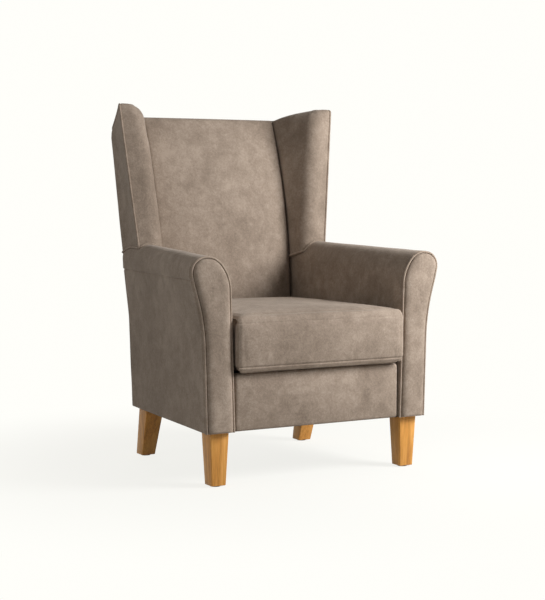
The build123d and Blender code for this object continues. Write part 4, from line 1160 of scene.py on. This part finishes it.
class WINGBACK_OT_cushion(bpy.types.Operator):
    """Build the loose seat cushion, fill it and sew its seams"""
    bl_idname = "wingback.cushion"
    bl_label = "Seat Cushion"

    # Run at each end with closer points, points in that run and points between.
    SPACING = {"across": (0.09, 11, 56), "along": (0.036, 16, 56), "up": (0.022, 8, 20)}
    # Steps on both sides of a seam, and the least gap to the next level.
    SEAM_STEPS, LEAST_STEP = (0, 0.0012, 0.0025, 0.004, 0.006), 0.0022
    # Spacing, mass, steps in a frame and frames of the cloth.
    VOXEL, CLOTH_MASS, CLOTH_STEPS, FRAMES = 0.006, 0.25, 4, 20
    # Places of the cloth that move a point, the gap that softens their weights, and rounds of evening out.
    NEAREST, NEAR_GAP, EVENING_ROUNDS = 6, 0.002, 30
    # Share of the way out at which a side begins, share in which it grows, and how squarely it faces out.
    SIDE_FROM, SIDE_RUN, SIDE_POWER = 0.9, 0.06, 7
    # How upright the puckers are, and how late the cover turns in under the lower seam.
    PUCKER_STRETCH, UNDER_POWER = 0.4, 1.5

    def execute(self, context):
        points, faces = self.sewn_box()
        points = points + self.filling(points, faces)
        points = self.settle(points)
        points = self.seams(points)
        made = new_object("loose_seat_cushion", points, faces, sharp=80)
        upholster(made, ["cushion_cover", "cushion_core"], body=CUSHION)
        return {"FINISHED"}

    def span(self):
        """Front, rear, bottom and edge height of the cushion."""
        seat = chair().seat
        return (-chair().overall.depth / 2, crease() - chair().back.crown - seat.cushion_back_gap,
                seat.deck_height, seat.height)

    def side_at(self, y):
        """Half width of the cushion: between the arms, and spread before their fronts."""
        seat = chair().seat
        half = arm_inner(np.maximum(y, arm_start()), seat.deck_height) - seat.cushion_side_gap
        return half + seat.cushion_spread * smooth_step((front_plane() - y) / seat.spread_turn)

    def spread_levels(self, low, high, seams):
        """Heights from bottom to top, closer together at the seams."""
        steps = np.array(self.SEAM_STEPS)
        near = np.concatenate([-steps[:0:-1], steps])
        dense = np.concatenate([seam + near for seam in seams])
        wide = closer_ends(low, high, *self.SPACING["up"])
        wide = [z for z in wide if np.abs(dense - z).min() > self.LEAST_STEP or z in (low, high)]
        return np.unique(np.round(np.concatenate([dense, wide]), 6))

    def sewn_box(self):
        """Rounded box of the cushion before it is filled."""
        seat = chair().seat
        front, rear, low, high = self.span()
        slack = seat.cushion_slack
        across = closer_ends(-1, 1, *self.SPACING["across"])
        along = closer_ends(front + slack, rear - slack, *self.SPACING["along"])
        levels = self.spread_levels(low, high - slack, (low + seat.low_seam, high - seat.high_seam))
        points, faces = box_grid(across, along, levels)
        side = self.side_at(points[:, 1]) - slack
        points[:, 0] *= side
        upper = points[:, 2] > (low + high) / 2
        ones = np.ones(len(points))
        reach = np.column_stack([seat.side_edge * ones, seat.front_edge * ones,
                                 np.where(upper, seat.top_edge, seat.low_edge)])
        least = np.column_stack([-side, (front + slack) * ones, low * ones]) + reach
        most = np.column_stack([side, (rear - slack) * ones, (high - slack) * ones]) - reach
        core = np.clip(points, least, most)
        out = (points - core) / reach
        size = np.linalg.norm(out, axis=1, keepdims=True)
        points = core + reach * unit(out) * np.minimum(size, 1)
        middle = (front + rear) / 2
        crown = (1 - (points[:, 0] / side) ** 2) * (1 - ((points[:, 1] - middle) / (rear - middle)) ** 2)
        climb = smooth_step((points[:, 2] - low) / (high - low))
        points[:, 2] += seat.cushion_crown * np.clip(crown, 0, 1) * climb
        return points, faces

    def bag(self, points, faces):
        """Bag with evenly spaced points round the cushion."""
        made = new_object("cushion_bag", points, faces, sharp=180)
        bpy.context.view_layer.objects.active = made
        remesh = made.modifiers.new("Voxels", "REMESH")
        remesh.mode = "VOXEL"
        remesh.voxel_size = self.VOXEL
        bpy.ops.object.modifier_apply(modifier=remesh.name)
        return made

    def blow_up(self, bag):
        """Places of the bag's points, and how far each moves when the bag is blown up as cloth."""
        seat, scene = chair().seat, bpy.context.scene
        rest = np.array([v.co for v in bag.data.vertices])
        cloth = bag.modifiers.new("Cloth", "CLOTH")
        cloth.settings.quality = self.CLOTH_STEPS
        cloth.settings.mass = self.CLOTH_MASS
        cloth.settings.use_pressure = True
        cloth.settings.uniform_pressure_force = seat.cushion_pressure
        cloth.settings.effector_weights.gravity = 0
        cloth.point_cache.frame_start = 1
        cloth.point_cache.frame_end = self.FRAMES
        for step in range(1, self.FRAMES + 1):
            scene.frame_set(step)
        filled = bag.evaluated_get(bpy.context.evaluated_depsgraph_get())
        moved = np.array([v.co for v in filled.data.vertices]) - rest
        scene.frame_set(1)
        size = np.linalg.norm(moved, axis=1, keepdims=True)
        return rest, moved * np.minimum(1, seat.cushion_swell / np.maximum(size, TINY))

    def filling(self, points, faces):
        """How far each point of the cushion moves out when it is filled."""
        bag = self.bag(points, faces)
        rest, moved = self.blow_up(bag)
        bpy.data.objects.remove(bag)
        tree = KDTree(len(rest))
        for place, spot in enumerate(rest):
            tree.insert(spot, place)
        tree.balance()
        swell = []
        for spot in points:
            near = tree.find_n(spot, self.NEAREST)
            weights = np.array([1 / (gap + self.NEAR_GAP) for _, _, gap in near])
            swell.append(weights @ moved[[i for _, i, _ in near]] / weights.sum())
        normals = point_normals(points, faces)
        push = np.maximum(np.sum(np.array(swell) * normals, axis=1), 0)
        return smoothed(push[:, None], faces, self.EVENING_ROUNDS) * normals

    def settle(self, points):
        """Rest the cushion on the deck, against the arms and clear of the back."""
        seat = chair().seat
        front, rear, low, high = self.span()
        points[:, 2] = np.maximum(points[:, 2], low + seat.cushion_clear)
        side = self.side_at(points[:, 1]) + seat.cushion_side_gap / 3
        points[:, 0] = np.clip(points[:, 0], -side, side)
        points[:, 1] = np.minimum(points[:, 1], rear)
        proud = np.maximum(front - points[:, 1], 0)
        points[:, 1] += proud - seat.cushion_proud * np.tanh(proud / seat.cushion_proud)
        return points

    def seams(self, points):
        """Press the two seams into the sides of the cushion and gather the cover along them."""
        seat = chair().seat
        front, rear, low, high = self.span()
        middle = (front + rear) / 2
        across = points[:, 0] / self.side_at(points[:, 1])
        along = (points[:, 1] - middle) / (rear - middle)
        on_side = smooth_step((np.maximum(np.abs(across), np.abs(along)) - self.SIDE_FROM) / self.SIDE_RUN)
        plan = np.column_stack([across, along])
        inward = unit(-plan * np.abs(plan) ** self.SIDE_POWER)
        soft = wave(points * (1, 1, self.PUCKER_STRETCH), "pucker")
        for height, part in ((low + seat.low_seam, 1), (high - seat.high_seam, seat.high_seam_share)):
            above = points[:, 2] - height
            groove = seat.seam_depth * np.exp(-(above / chair().arm.seam_width) ** 2)
            gather = seat.pucker * soft * np.exp(-(above / seat.pucker_reach) ** 2)
            points[:, :2] += inward * (on_side * part * (groove + gather))[:, None]
        under = np.clip(1 - (points[:, 2] - low) / seat.low_seam, 0, 1)
        points[:, :2] += inward * (on_side * seat.low_roll * under ** self.UNDER_POWER)[:, None]
        rise = smooth_step((points[:, 2] - high) / seat.top_run + 1) * (1 - on_side)
        points[:, 2] += rise * chair().overall.unevenness * wave(points, "cushion")
        return points


def closer_ends(low, high, edge, near, wide):
    """Places from low to high, closer together within the edge at each end."""
    first = np.linspace(low, low + edge, near, endpoint=False)
    last = np.linspace(high, high - edge, near, endpoint=False)[::-1]
    return np.concatenate([first, np.linspace(low + edge, high - edge, wide), last])


def point_normals(points, faces):
    """Unit vectors out of a closed mesh of quads at its points."""
    faces = np.array(faces)
    corners = points[faces]
    flat = np.cross(corners[:, 2] - corners[:, 0], corners[:, 3] - corners[:, 1])
    normals = np.zeros_like(points)
    for place in range(4):
        np.add.at(normals, faces[:, place], flat)
    normals = unit(normals)
    return normals * np.sign(np.sum(normals * (points - points.mean(0))))


def smoothed(values, faces, rounds):
    """Values at the points of a mesh, evened out with their neighbours."""
    pairs = np.array([(a, b) for face in faces for a, b in zip(face, face[1:] + face[:1])])
    pairs = np.concatenate([pairs, pairs[:, ::-1]])
    count = np.bincount(pairs[:, 0], minlength=len(values))[:, None]
    for _ in range(rounds):
        total = np.zeros_like(values)
        np.add.at(total, pairs[:, 0], values[pairs[:, 1]])
        values = (values + total / count) / 2
    return values


def box_grid(*axes):
    """Points and faces of the surface of a box, from the places of its points on the three axes."""
    index, points, faces = {}, [], []

    def at(key):
        if key not in index:
            index[key] = len(points)
            points.append([axis[place] for axis, place in zip(axes, key)])
        return index[key]

    last = [len(axis) - 1 for axis in axes]
    around = ((0, 0), (1, 0), (1, 1), (0, 1))
    for fixed, first, second in ((2, 0, 1), (1, 0, 2), (0, 1, 2)):
        for i, j in np.ndindex(last[first], last[second]):
            for end in (0, last[fixed]):
                turn = ({fixed: end, first: i + a, second: j + b} for a, b in around)
                faces.append(tuple(at((key[0], key[1], key[2])) for key in turn))
    return np.array(points), faces


class WINGBACK_OT_seat_front(bpy.types.Operator):
    """Build the padded border under the cushion and the deck behind it"""
    bl_idname = "wingback.seat_front"
    bl_label = "Border and Deck"

    # Points on each stretch of the border's outline, across and along the deck, and up its side.
    COUNTS = {"base": 70, "side": 22, "corner": 8, "top": 68}
    DECK_COUNT, DECK_LEVELS = 60, 8

    def execute(self, context):
        self.make_border()
        self.make_deck()
        return {"FINISHED"}

    def border_outline(self, half, low, top):
        """Front view of the border, with rounded upper corners."""
        corner, counts = chair().seat.border_corner, self.COUNTS
        return np.concatenate([
            straight((-half, low), (half, low), counts["base"]),
            straight((half, low), (half, top - corner), counts["side"]),
            corner_arc((half - corner, top - corner), corner, 0, 90, counts["corner"]),
            straight((half - corner, top), (-half + corner, top), counts["top"]),
            corner_arc((-half + corner, top - corner), corner, 90, 180, counts["corner"]),
            straight((-half, top - corner), (-half, low), counts["side"]),
        ])

    def make_border(self):
        seat, low = chair().seat, chair().overall.leg_height
        plane = front_plane() + seat.border_setback
        half = float(arm_inner(plane, low)) - seat.border_gap
        outline = self.border_outline(half, low, seat.deck_height)

        def height(flat, distance):
            soft = wave(np.column_stack([flat, np.zeros(len(flat))]), "border")
            inner = smooth_step(distance / seat.border_blend)
            full = round_edge(distance, seat.border_round) * seat.border_fold + seat.border_swell * inner
            return full + chair().overall.unevenness * soft * inner

        def place(u, v, w):
            return (u, plane + seat.border_fold - w, v)

        depth = seat.border_thickness - seat.border_fold
        made = crowned_panel("front_border", outline, height, place, depth)
        upholster(made, ["border_cover", "border_pad"])

    def make_deck(self):
        seat = chair().seat
        low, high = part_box("deck_pad")
        bottom, top, count = low.z, seat.deck_height, self.DECK_COUNT
        along, levels = np.linspace(low.y, high.y, count), np.linspace(bottom, top, self.DECK_LEVELS)
        points, faces = box_grid(np.linspace(-1, 1, count), along, levels)
        side = arm_inner(points[:, 1], bottom) - seat.deck_gap
        points[:, 0] *= side
        from_end = np.minimum(points[:, 1] - low.y, high.y - points[:, 1])
        wall = np.minimum(side - np.abs(points[:, 0]), from_end)
        sink = seat.deck_edge * (1 - round_edge(wall, seat.deck_edge))
        behind = points[:, 1] - low.y - seat.deck_seam_setback
        seam = seat.deck_seam * np.exp(-(behind / seat.deck_seam_width) ** 2)
        points[:, 2] -= (sink + seam) * smooth_step((points[:, 2] - bottom) / (top - bottom))
        made = new_object("seat_deck", points, faces, sharp=60)
        dress(made, CHAIR, plain("cloth"), ["deck_cover", "deck_pad"])


class WINGBACK_OT_underside(bpy.types.Operator):
    """Stretch the cloth under the frame, with openings for the legs"""
    bl_idname = "wingback.underside"
    bl_label = "Underside Cloth"

    # Spacing of the cloth's points, and points on each side of its outline and of an opening.
    STEP, EDGE_COUNT, HOLE_COUNT = 0.02, 26, 4
    # Depth of the sag, and distance from the edge at which it is full.
    SAG, SAG_RUN = 0.0025, 0.12
    RAILS = ["seat_rail_front", "seat_rail_rear", "seat_rail_side_left", "seat_rail_side_right"]

    def execute(self, context):
        low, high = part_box("dust_cover")
        outline = polygon(self.corners(low, high), self.EDGE_COUNT)
        holes = [self.hole(x, y) for x, y, _ in leg_places()]
        spots, faces = self.cut(outline, holes, self.grid(low, high))
        sag = self.SAG * smooth_step(distance_to_outline(spots, outline) / self.SAG_RUN)
        points = np.column_stack([spots, (low.z + high.z) / 2 - sag])
        made = new_object("underside_cloth", points, faces)
        dress(made, CHAIR, plain("cloth"), ["dust_cover"])
        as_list(self.RAILS)
        return {"FINISHED"}

    def corners(self, low, high):
        """Corners of the cloth, which narrows to the rear with the arms."""
        seat, arm = chair().seat, chair().arm
        narrowing = seat.front_width / 2 + arm.base - seat.rear_width / 2 - arm.rear_base
        far = high.x - (high.y - low.y) * narrowing / (arm_end() - arm_start())
        return np.array([(-high.x, low.y), (high.x, low.y), (far, high.y), (-far, high.y)])

    def grid(self, low, high):
        """Evenly spaced places over the box of the cloth."""
        along = np.arange(low.y, high.y, self.STEP)
        return np.array([(x, y) for x in np.arange(-high.x, high.x, self.STEP) for y in along])

    def cut(self, outline, holes, grid):
        """Places and faces of the flat cloth inside its outline and outside the openings."""
        grid = grid[inside_outline(grid, outline) & (distance_to_outline(grid, outline) > self.STEP / 3)]
        for hole in holes:
            grid = grid[~inside_outline(grid, hole) & (distance_to_outline(grid, hole) > self.STEP / 4)]
        edges, first = [], 0
        for line in (outline, *holes):
            edges += [(first + i, first + (i + 1) % len(line)) for i in range(len(line))]
            first += len(line)
        flat = np.concatenate([outline, *holes, grid])
        result = delaunay_2d_cdt([Vector(p) for p in flat], edges, [], 0, 1e-7)
        spots = np.array([tuple(p) for p in result[0]])
        return spots, [face for face in result[2] if not self.in_hole(spots[list(face)].mean(0), holes)]

    def hole(self, x, y):
        """Square opening for a leg."""
        reach = chair().leg.top / 2 + chair().leg.opening
        return polygon(np.array([(x, y)]) + reach * SQUARE, self.HOLE_COUNT)

    def in_hole(self, spot, holes):
        """Whether a place lies in one of the openings."""
        return any(inside_outline(spot[None], hole)[0] for hole in holes)


def leg_places():
    """Plan place of each leg at its top, and the rake of its foot."""
    leg = chair().leg
    front = front_plane() + leg.front_setback
    rear = front_plane() + leg.rear_setback
    places = []
    for sign in SIDES.values():
        places.append((sign * leg.front_half_spacing, front, 0.0))
        places.append((sign * leg.rear_half_spacing, rear, leg.rear_rake))
    return places


class WINGBACK_OT_legs(bpy.types.Operator):
    """Build the tapered oak legs with eased edges"""
    bl_idname = "wingback.legs"
    bl_label = "Legs"

    def execute(self, context):
        leg = chair().leg
        top_z = chair().overall.leg_height + chair().overall.cover
        names = [f"leg_{end}_{side}" for side in SIDES for end in ("front", "rear")]
        for name, (x, y, rake) in zip(names, leg_places()):
            foot = np.column_stack([SQUARE * leg.foot / 2 + (x, y + rake), np.full(4, leg.glide)])
            top = np.column_stack([SQUARE * leg.top / 2 + (x, y), np.full(4, top_z)])
            made = new_object(f"oak_{name}", np.concatenate([foot, top]), skin_faces(2, 4))
            ease_edges(made.data, leg.edge, 3)
            dress(made, CHAIR, oak(), [name])
        return {"FINISHED"}


class WINGBACK_OT_zip(bpy.types.Operator):
    """Build the zip along the cushion's rear and its slider"""
    bl_idname = "wingback.zip"
    bl_label = "Cushion Zip"

    # Points along and up the tape, in a turn of the coil and around its wire.
    TAPE_COUNT, TAPE_LEVELS, PER_TURN, AROUND_WIRE = 120, 14, 10, 5
    # Angle below which the slider's faces count as flat.
    FLAT = 0.02

    def execute(self, context):
        self.make_tape()
        self.make_slider()
        return {"FINISHED"}

    def make_tape(self):
        size = chair().zip
        low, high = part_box("cushion_zip")
        level = (low.z + high.z) / 2
        half, rise = size.run / 2, size.tape_height / 2
        across = np.linspace(-half, half, self.TAPE_COUNT)
        levels = np.linspace(level - rise, level + rise, self.TAPE_LEVELS)
        points, faces = box_grid(across, np.array([low.y, low.y + size.tape]), levels)
        turns = int(size.run / size.pitch)
        t = np.linspace(0, turns * math.tau, turns * self.PER_TURN)
        coil = np.column_stack([
            -half + size.run * t / t[-1],
            low.y + size.tape + size.coil / 2 + (size.coil / 2 - size.wire) * np.sin(t),
            level + (size.coil_height / 2 - size.wire) * np.cos(t),
        ])
        wire, wire_faces = tube(coil, size.wire, self.AROUND_WIRE)
        faces += [tuple(i + len(points) for i in face) for face in wire_faces]
        made = new_object("zip_with_coil", np.concatenate([points, wire]), faces)
        dress(made, CUSHION, plain("zip_tape"), ["cushion_zip"])

    def make_slider(self):
        mesh = frame["nodes"]["zip_slider"].data.copy()
        ease_edges(mesh, chair().zip.slider_edge, 2, flat=self.FLAT)
        made = bpy.data.objects.new("zip_pull", mesh)
        bpy.context.scene.collection.objects.link(made)
        dress(made, SLIDER, plain("zip_metal"), ["zip_slider"])


class WINGBACK_OT_hidden_frame(bpy.types.Operator):
    """Finish the frame, springs and hardware that stay as they are"""
    bl_idname = "wingback.hidden_frame"
    bl_label = "Frame and Hardware"

    def execute(self, context):
        finishes = {
            "frame_timber": "timber", "frame_plywood": "timber", "spring_steel": "steel", "felt": "felt",
            "webbing": "webbing", "glide_plastic": "glide",
        }
        slots = {part["node"]: part["material_slot"] for part in frame["record"]["subparts"]}
        for name, node in frame["nodes"].items():
            if not node.hide_render:
                node.data.materials.clear()
                node.data.materials.append(plain(finishes[slots[name]]))
        return {"FINISHED"}


def named_material(name, build):
    """The material of that name, built the first time it is asked for."""
    found = bpy.data.materials.get(name)
    if found:
        return found
    made = bpy.data.materials.new(name)
    made.use_nodes = True
    build(made.node_tree, made.node_tree.nodes["Principled BSDF"])
    return made


def feed(tree, node, inputs):
    """Set or link the inputs of a node."""
    for key, value in inputs.items():
        if isinstance(value, bpy.types.NodeSocket):
            tree.links.new(value, node.inputs[key])
        else:
            node.inputs[key].default_value = value


def add(tree, kind, inputs=None, **settings):
    """New node with its settings and inputs."""
    made = tree.nodes.new(kind)
    for key, value in settings.items():
        setattr(made, key, value)
    feed(tree, made, inputs or {})
    return made


def object_places(tree, scale=(1, 1, 1)):
    """Places on the piece, stretched by a scale."""
    places = add(tree, "ShaderNodeTexCoord").outputs["Object"]
    return add(tree, "ShaderNodeMapping", {"Vector": places, "Scale": scale}).outputs["Vector"]


def noise_of(tree, places, scale, detail=3.0, rough=0.55, twist=0.0):
    """Value of a noise texture."""
    inputs = {"Vector": places, "Scale": scale, "Detail": detail, "Roughness": rough, "Distortion": twist}
    return add(tree, "ShaderNodeTexNoise", inputs).outputs["Fac"]


def maths(tree, operation, first, second):
    """Result of a sum, product or the like."""
    return add(tree, "ShaderNodeMath", {0: first, 1: second}, operation=operation).outputs["Value"]


def weighted(tree, *parts):
    """Sum of values, each with its weight."""
    total = None
    for value, weight in parts:
        piece = maths(tree, "MULTIPLY", value, weight)
        total = piece if total is None else maths(tree, "ADD", total, piece)
    return total


def ramp(tree, value, stops):
    """Colour from a value, through stops of place and colour."""
    made = add(tree, "ShaderNodeValToRGB", {"Fac": value})
    marks = made.color_ramp.elements
    while len(marks) < len(stops):
        marks.new(0.5)
    for mark, (place, tone) in zip(marks, stops):
        mark.position = place
        mark.color = (*tone, 1)
    return made.outputs["Color"]


def in_range(tree, value, low, high):
    """Value brought from 0..1 into another range."""
    return add(tree, "ShaderNodeMapRange", {"Value": value, "To Min": low, "To Max": high}).outputs["Result"]


def bump(tree, *layers):
    """Relief from heights, each with its depth in metres."""
    normal = {}
    for height, depth in layers:
        made = add(tree, "ShaderNodeBump", {"Height": height, "Distance": depth, "Strength": 1.0, **normal})
        normal = {"Normal": made.outputs["Normal"]}
    return normal["Normal"]


def nap(tree, shader, highlight_and_wear_lift):
    """Brushed nap with cloudy patches, fine grain and a soft sheen."""
    tones = chair().finish
    places = object_places(tree)
    clouds = noise_of(tree, places, 5.5, detail=4.0, rough=0.6, twist=0.6)
    patches = noise_of(tree, places, 26.0, detail=5.0, rough=0.62, twist=0.4)
    specks = noise_of(tree, places, 150.0, detail=4.0, rough=0.65)
    grain = noise_of(tree, places, 340.0, rough=0.7)
    brushed = noise_of(tree, object_places(tree, (60, 60, 14)), 1.0)
    value = weighted(tree, (clouds, 0.34), (patches, 0.28), (specks, 0.24), (grain, 0.20), (brushed, 0.06))
    stops = [(0.455, tones.suede_dark), (0.56, tones.suede_mid), (0.665, tones.suede_light)]
    # The lift lightens every tone of the nap. The piping's copy uses it for a painted highlight on the raised
    # cord, together with a little wear.
    stops = [(place, [min(c * highlight_and_wear_lift, 1) for c in tone]) for place, tone in stops]
    feed(tree, shader, {
        "Base Color": ramp(tree, value, stops),
        "Roughness": in_range(tree, patches, 0.74, 0.92),
        "Specular IOR Level": 0.28,
        "Sheen Weight": 0.22,
        "Sheen Roughness": 0.45,
        "Sheen Tint": (0.93, 0.86, 0.79, 1),
        "Normal": bump(tree, (patches, 0.0016), (specks, 0.0005), (grain, 0.00022)),
    })


def suede():
    """Napped cover."""
    return named_material("suede_nap", lambda tree, shader: nap(tree, shader, 1.0))


def suede_piping():
    """Napped cover stretched over a cord, lightened all over: a little wear, and a painted highlight for the
    light that catches the raised cord.
    """
    return named_material("suede_piping", lambda tree, shader: nap(tree, shader, 1.12))


def oak():
    """Honey oak with upright grain under a satin lacquer."""
    return named_material("honey_oak", build_oak)


def build_oak(tree, shader):
    """Pale bands, dark grain lines and pores, all stretched upright."""
    tones = chair().finish
    bands = noise_of(tree, object_places(tree, (46, 46, 3.2)), 1.0, rough=0.5, twist=0.9)
    lines = noise_of(tree, object_places(tree, (240, 240, 7)), 1.0, detail=4.0, rough=0.6, twist=0.5)
    pores = noise_of(tree, object_places(tree, (900, 900, 26)), 1.0, detail=2.0, rough=0.5)
    value = weighted(tree, (bands, 0.5), (lines, 0.34), (pores, 0.16))
    stops = [(0.36, tones.oak_dark), (0.48, tones.oak_mid), (0.62, tones.oak_light)]
    feed(tree, shader, {
        "Base Color": ramp(tree, value, stops),
        "Roughness": in_range(tree, lines, 0.34, 0.52),
        "Specular IOR Level": 0.3,
        "Coat Weight": 0.04,
        "Coat Roughness": 0.3,
        "Normal": bump(tree, (lines, 0.0003), (pores, 0.0002)),
    })


ROUGH_SPREAD = 0.08
# Finishes with one tone: the name of each, the scale, spread and relief of its noise, and its roughness.
PLAIN = {
    "cloth": {"name": "platform_cloth", "scale": 700.0, "spread": 0.5, "rough": 0.9, "depth": 0.0004},
    "timber": {"name": "frame_beech", "scale": 1.0, "spread": 0.25, "rough": 0.7, "depth": 0.0003,
               "stretch": (60, 60, 6)},
    "steel": {"name": "drawn_steel", "scale": 300.0, "spread": 0.15, "rough": 0.35, "depth": 0.0001,
              "metal": 1.0},
    "felt": {"name": "needled_felt", "scale": 260.0, "spread": 0.5, "rough": 0.95, "depth": 0.0008},
    "webbing": {"name": "woven_webbing", "scale": 1.0, "spread": 0.4, "rough": 0.85, "depth": 0.0004,
                "stretch": (500, 500, 120)},
    "glide": {"name": "moulded_glide", "scale": 400.0, "spread": 0.2, "rough": 0.5, "depth": 0.0001},
    "zip_tape": {"name": "zip_tape", "scale": 900.0, "spread": 0.3, "rough": 0.8, "depth": 0.0002},
    "zip_metal": {"name": "zip_enamel", "scale": 350.0, "spread": 0.1, "rough": 0.38, "depth": 0.00005,
                  "metal": 0.6},
}


def plain(kind):
    """Material with one tone, broken up by noise."""
    facts = PLAIN[kind]
    tone = getattr(chair().finish, kind)

    def build(tree, shader):
        places = object_places(tree, facts.get("stretch", (1, 1, 1)))
        value, rough = noise_of(tree, places, facts["scale"], detail=4.0, rough=0.6), facts["rough"]
        dark = [c * (1 - facts["spread"]) for c in tone]
        light = [min(c * (1 + facts["spread"]), 1) for c in tone]
        feed(tree, shader, {
            "Base Color": ramp(tree, value, [(0.3, dark), (0.7, light)]),
            "Roughness": in_range(tree, value, rough - ROUGH_SPREAD, rough + ROUGH_SPREAD),
            "Metallic": facts.get("metal", 0.0),
            "Normal": bump(tree, (value, facts["depth"])),
        })

    return named_material(facts["name"], build)


class WINGBACK_OT_stage(bpy.types.Operator):
    """Set up the floor, background, lights and camera"""
    bl_idname = "wingback.stage"
    bl_label = "Stage"

    def execute(self, context):
        context.scene.view_settings.view_transform = "Standard"
        self.make_floor()
        self.make_world()
        for name, (place, target, size) in LIGHTS.items():
            self.make_light(name, place, target, size)
        self.make_camera()
        return {"FINISHED"}

    def camera_mix(self, tree, plain_shader, seen_shader, output):
        """Show one shader to the camera and to mirrors, and another to the light."""
        path = add(tree, "ShaderNodeLightPath")
        seen = maths(tree, "MAXIMUM", path.outputs["Is Camera Ray"], path.outputs["Is Glossy Ray"])
        seen = maths(tree, "MAXIMUM", seen, path.outputs["Is Transmission Ray"])
        mix = add(tree, "ShaderNodeMixShader", {0: seen, 1: plain_shader, 2: seen_shader})
        tree.links.new(mix.outputs[0], output)

    def make_floor(self):
        stage = chair().stage
        corners = np.column_stack([SQUARE * stage.floor_reach, np.zeros(4)])
        made = new_object("floor", corners, [(0, 1, 2, 3)])
        material = bpy.data.materials.new("pale_floor")
        material.use_nodes = True
        tree = material.node_tree
        tree.nodes.clear()
        tone = (*stage.backdrop, 1)
        matt = add(tree, "ShaderNodeBsdfDiffuse", {"Color": (*stage.floor, 1)}).outputs[0]
        bright = add(tree, "ShaderNodeBsdfDiffuse", {"Color": tone}).outputs[0]
        glow = add(tree, "ShaderNodeEmission", {"Color": tone, "Strength": 1.0}).outputs[0]
        places = add(tree, "ShaderNodeTexCoord").outputs["Object"]
        away = add(tree, "ShaderNodeVectorMath", {0: places}, operation="LENGTH").outputs["Value"]
        limits = {"Value": away, "From Min": stage.shadow_reach / 3, "From Max": stage.shadow_reach,
                  "To Min": stage.shadow, "To Max": 0.0}
        fade = add(tree, "ShaderNodeMapRange", limits, interpolation_type="SMOOTHSTEP").outputs["Result"]
        seen = add(tree, "ShaderNodeMixShader", {0: fade, 1: glow, 2: bright}).outputs[0]
        output = add(tree, "ShaderNodeOutputMaterial")
        self.camera_mix(tree, matt, seen, output.inputs["Surface"])
        made.data.materials.append(material)

    def make_world(self):
        stage = chair().stage
        world = bpy.data.worlds.new("studio")
        bpy.context.scene.world = world
        world.use_nodes = True
        tree = world.node_tree
        tree.nodes.clear()
        even, seen = (
            add(tree, "ShaderNodeBackground", {"Color": (*tone, 1), "Strength": strength}).outputs[0]
            for tone, strength in ((stage.sky_tone, stage.sky), (stage.backdrop, 1.0))
        )
        output = add(tree, "ShaderNodeOutputWorld")
        self.camera_mix(tree, even, seen, output.inputs["Surface"])

    def make_light(self, name, place, target, size):
        lamp = bpy.data.lights.new(name, "AREA")
        lamp.shape = "DISK"
        lamp.size = size
        lamp.energy = getattr(chair().stage, name)
        made = bpy.data.objects.new(name, lamp)
        made.location = place
        made.rotation_euler = (Vector(target) - Vector(place)).to_track_quat("-Z", "Y").to_euler()
        bpy.context.scene.collection.objects.link(made)

    def make_camera(self):
        stage = chair().stage
        lens = bpy.data.cameras.new("camera")
        lens.sensor_width = 36.0
        lens.lens = stage.lens
        made = bpy.data.objects.new("camera", lens)
        turn, dip = stage.turn, stage.dip
        right = Vector((math.cos(turn), math.sin(turn), 0))
        back = Vector((math.sin(turn) * math.cos(dip), -math.cos(turn) * math.cos(dip), math.sin(dip)))
        up = back.cross(right)
        axes = Matrix((right, up, back)).transposed().to_4x4()
        made.matrix_world = Matrix.Translation(stage.eye) @ axes
        bpy.context.scene.collection.objects.link(made)
        bpy.context.scene.camera = made


OPERATORS = (
    WINGBACK_OT_arms,
    WINGBACK_OT_arm_fronts,
    WINGBACK_OT_wings,
    WINGBACK_OT_back,
    WINGBACK_OT_cushion,
    WINGBACK_OT_seat_front,
    WINGBACK_OT_underside,
    WINGBACK_OT_legs,
    WINGBACK_OT_zip,
    WINGBACK_OT_hidden_frame,
    WINGBACK_OT_stage,
)


class WINGBACK_PT_panel(bpy.types.Panel):
    """Lists the pieces of the chair"""
    bl_idname = "WINGBACK_PT_panel"
    bl_label = "Wingback Chair"
    bl_space_type = "VIEW_3D"
    bl_region_type = "UI"
    bl_category = "Wingback"

    def draw(self, context):
        for operator in OPERATORS:
            self.layout.operator(operator.bl_idname)
        for group in ("overall", "arm", "back", "wing", "seat", "leg", "zip", "finish", "stage"):
            box = self.layout.box()
            box.label(text=group.capitalize())
            settings = getattr(context.scene.wingback, group)
            for name in settings.__annotations__:
                box.prop(settings, name)


GROUPS = (
    OverallSizes, ArmSizes, BackSizes, WingSizes, SeatSizes, LegSizes, ZipSizes, Finishes,
    StageSettings, ChairSettings,
)


def register():
    for kind in (*GROUPS, *OPERATORS, WINGBACK_PT_panel):
        bpy.utils.register_class(kind)
    bpy.types.Scene.wingback = PointerProperty(type=ChairSettings)


def unregister():
    del bpy.types.Scene.wingback
    for kind in reversed((*GROUPS, *OPERATORS, WINGBACK_PT_panel)):
        bpy.utils.unregister_class(kind)


def main():
    register()
    for operator in OPERATORS:
        group, name = operator.bl_idname.split(".")
        getattr(getattr(bpy.ops, group), name)()


if __name__ == "__main__":
    main()
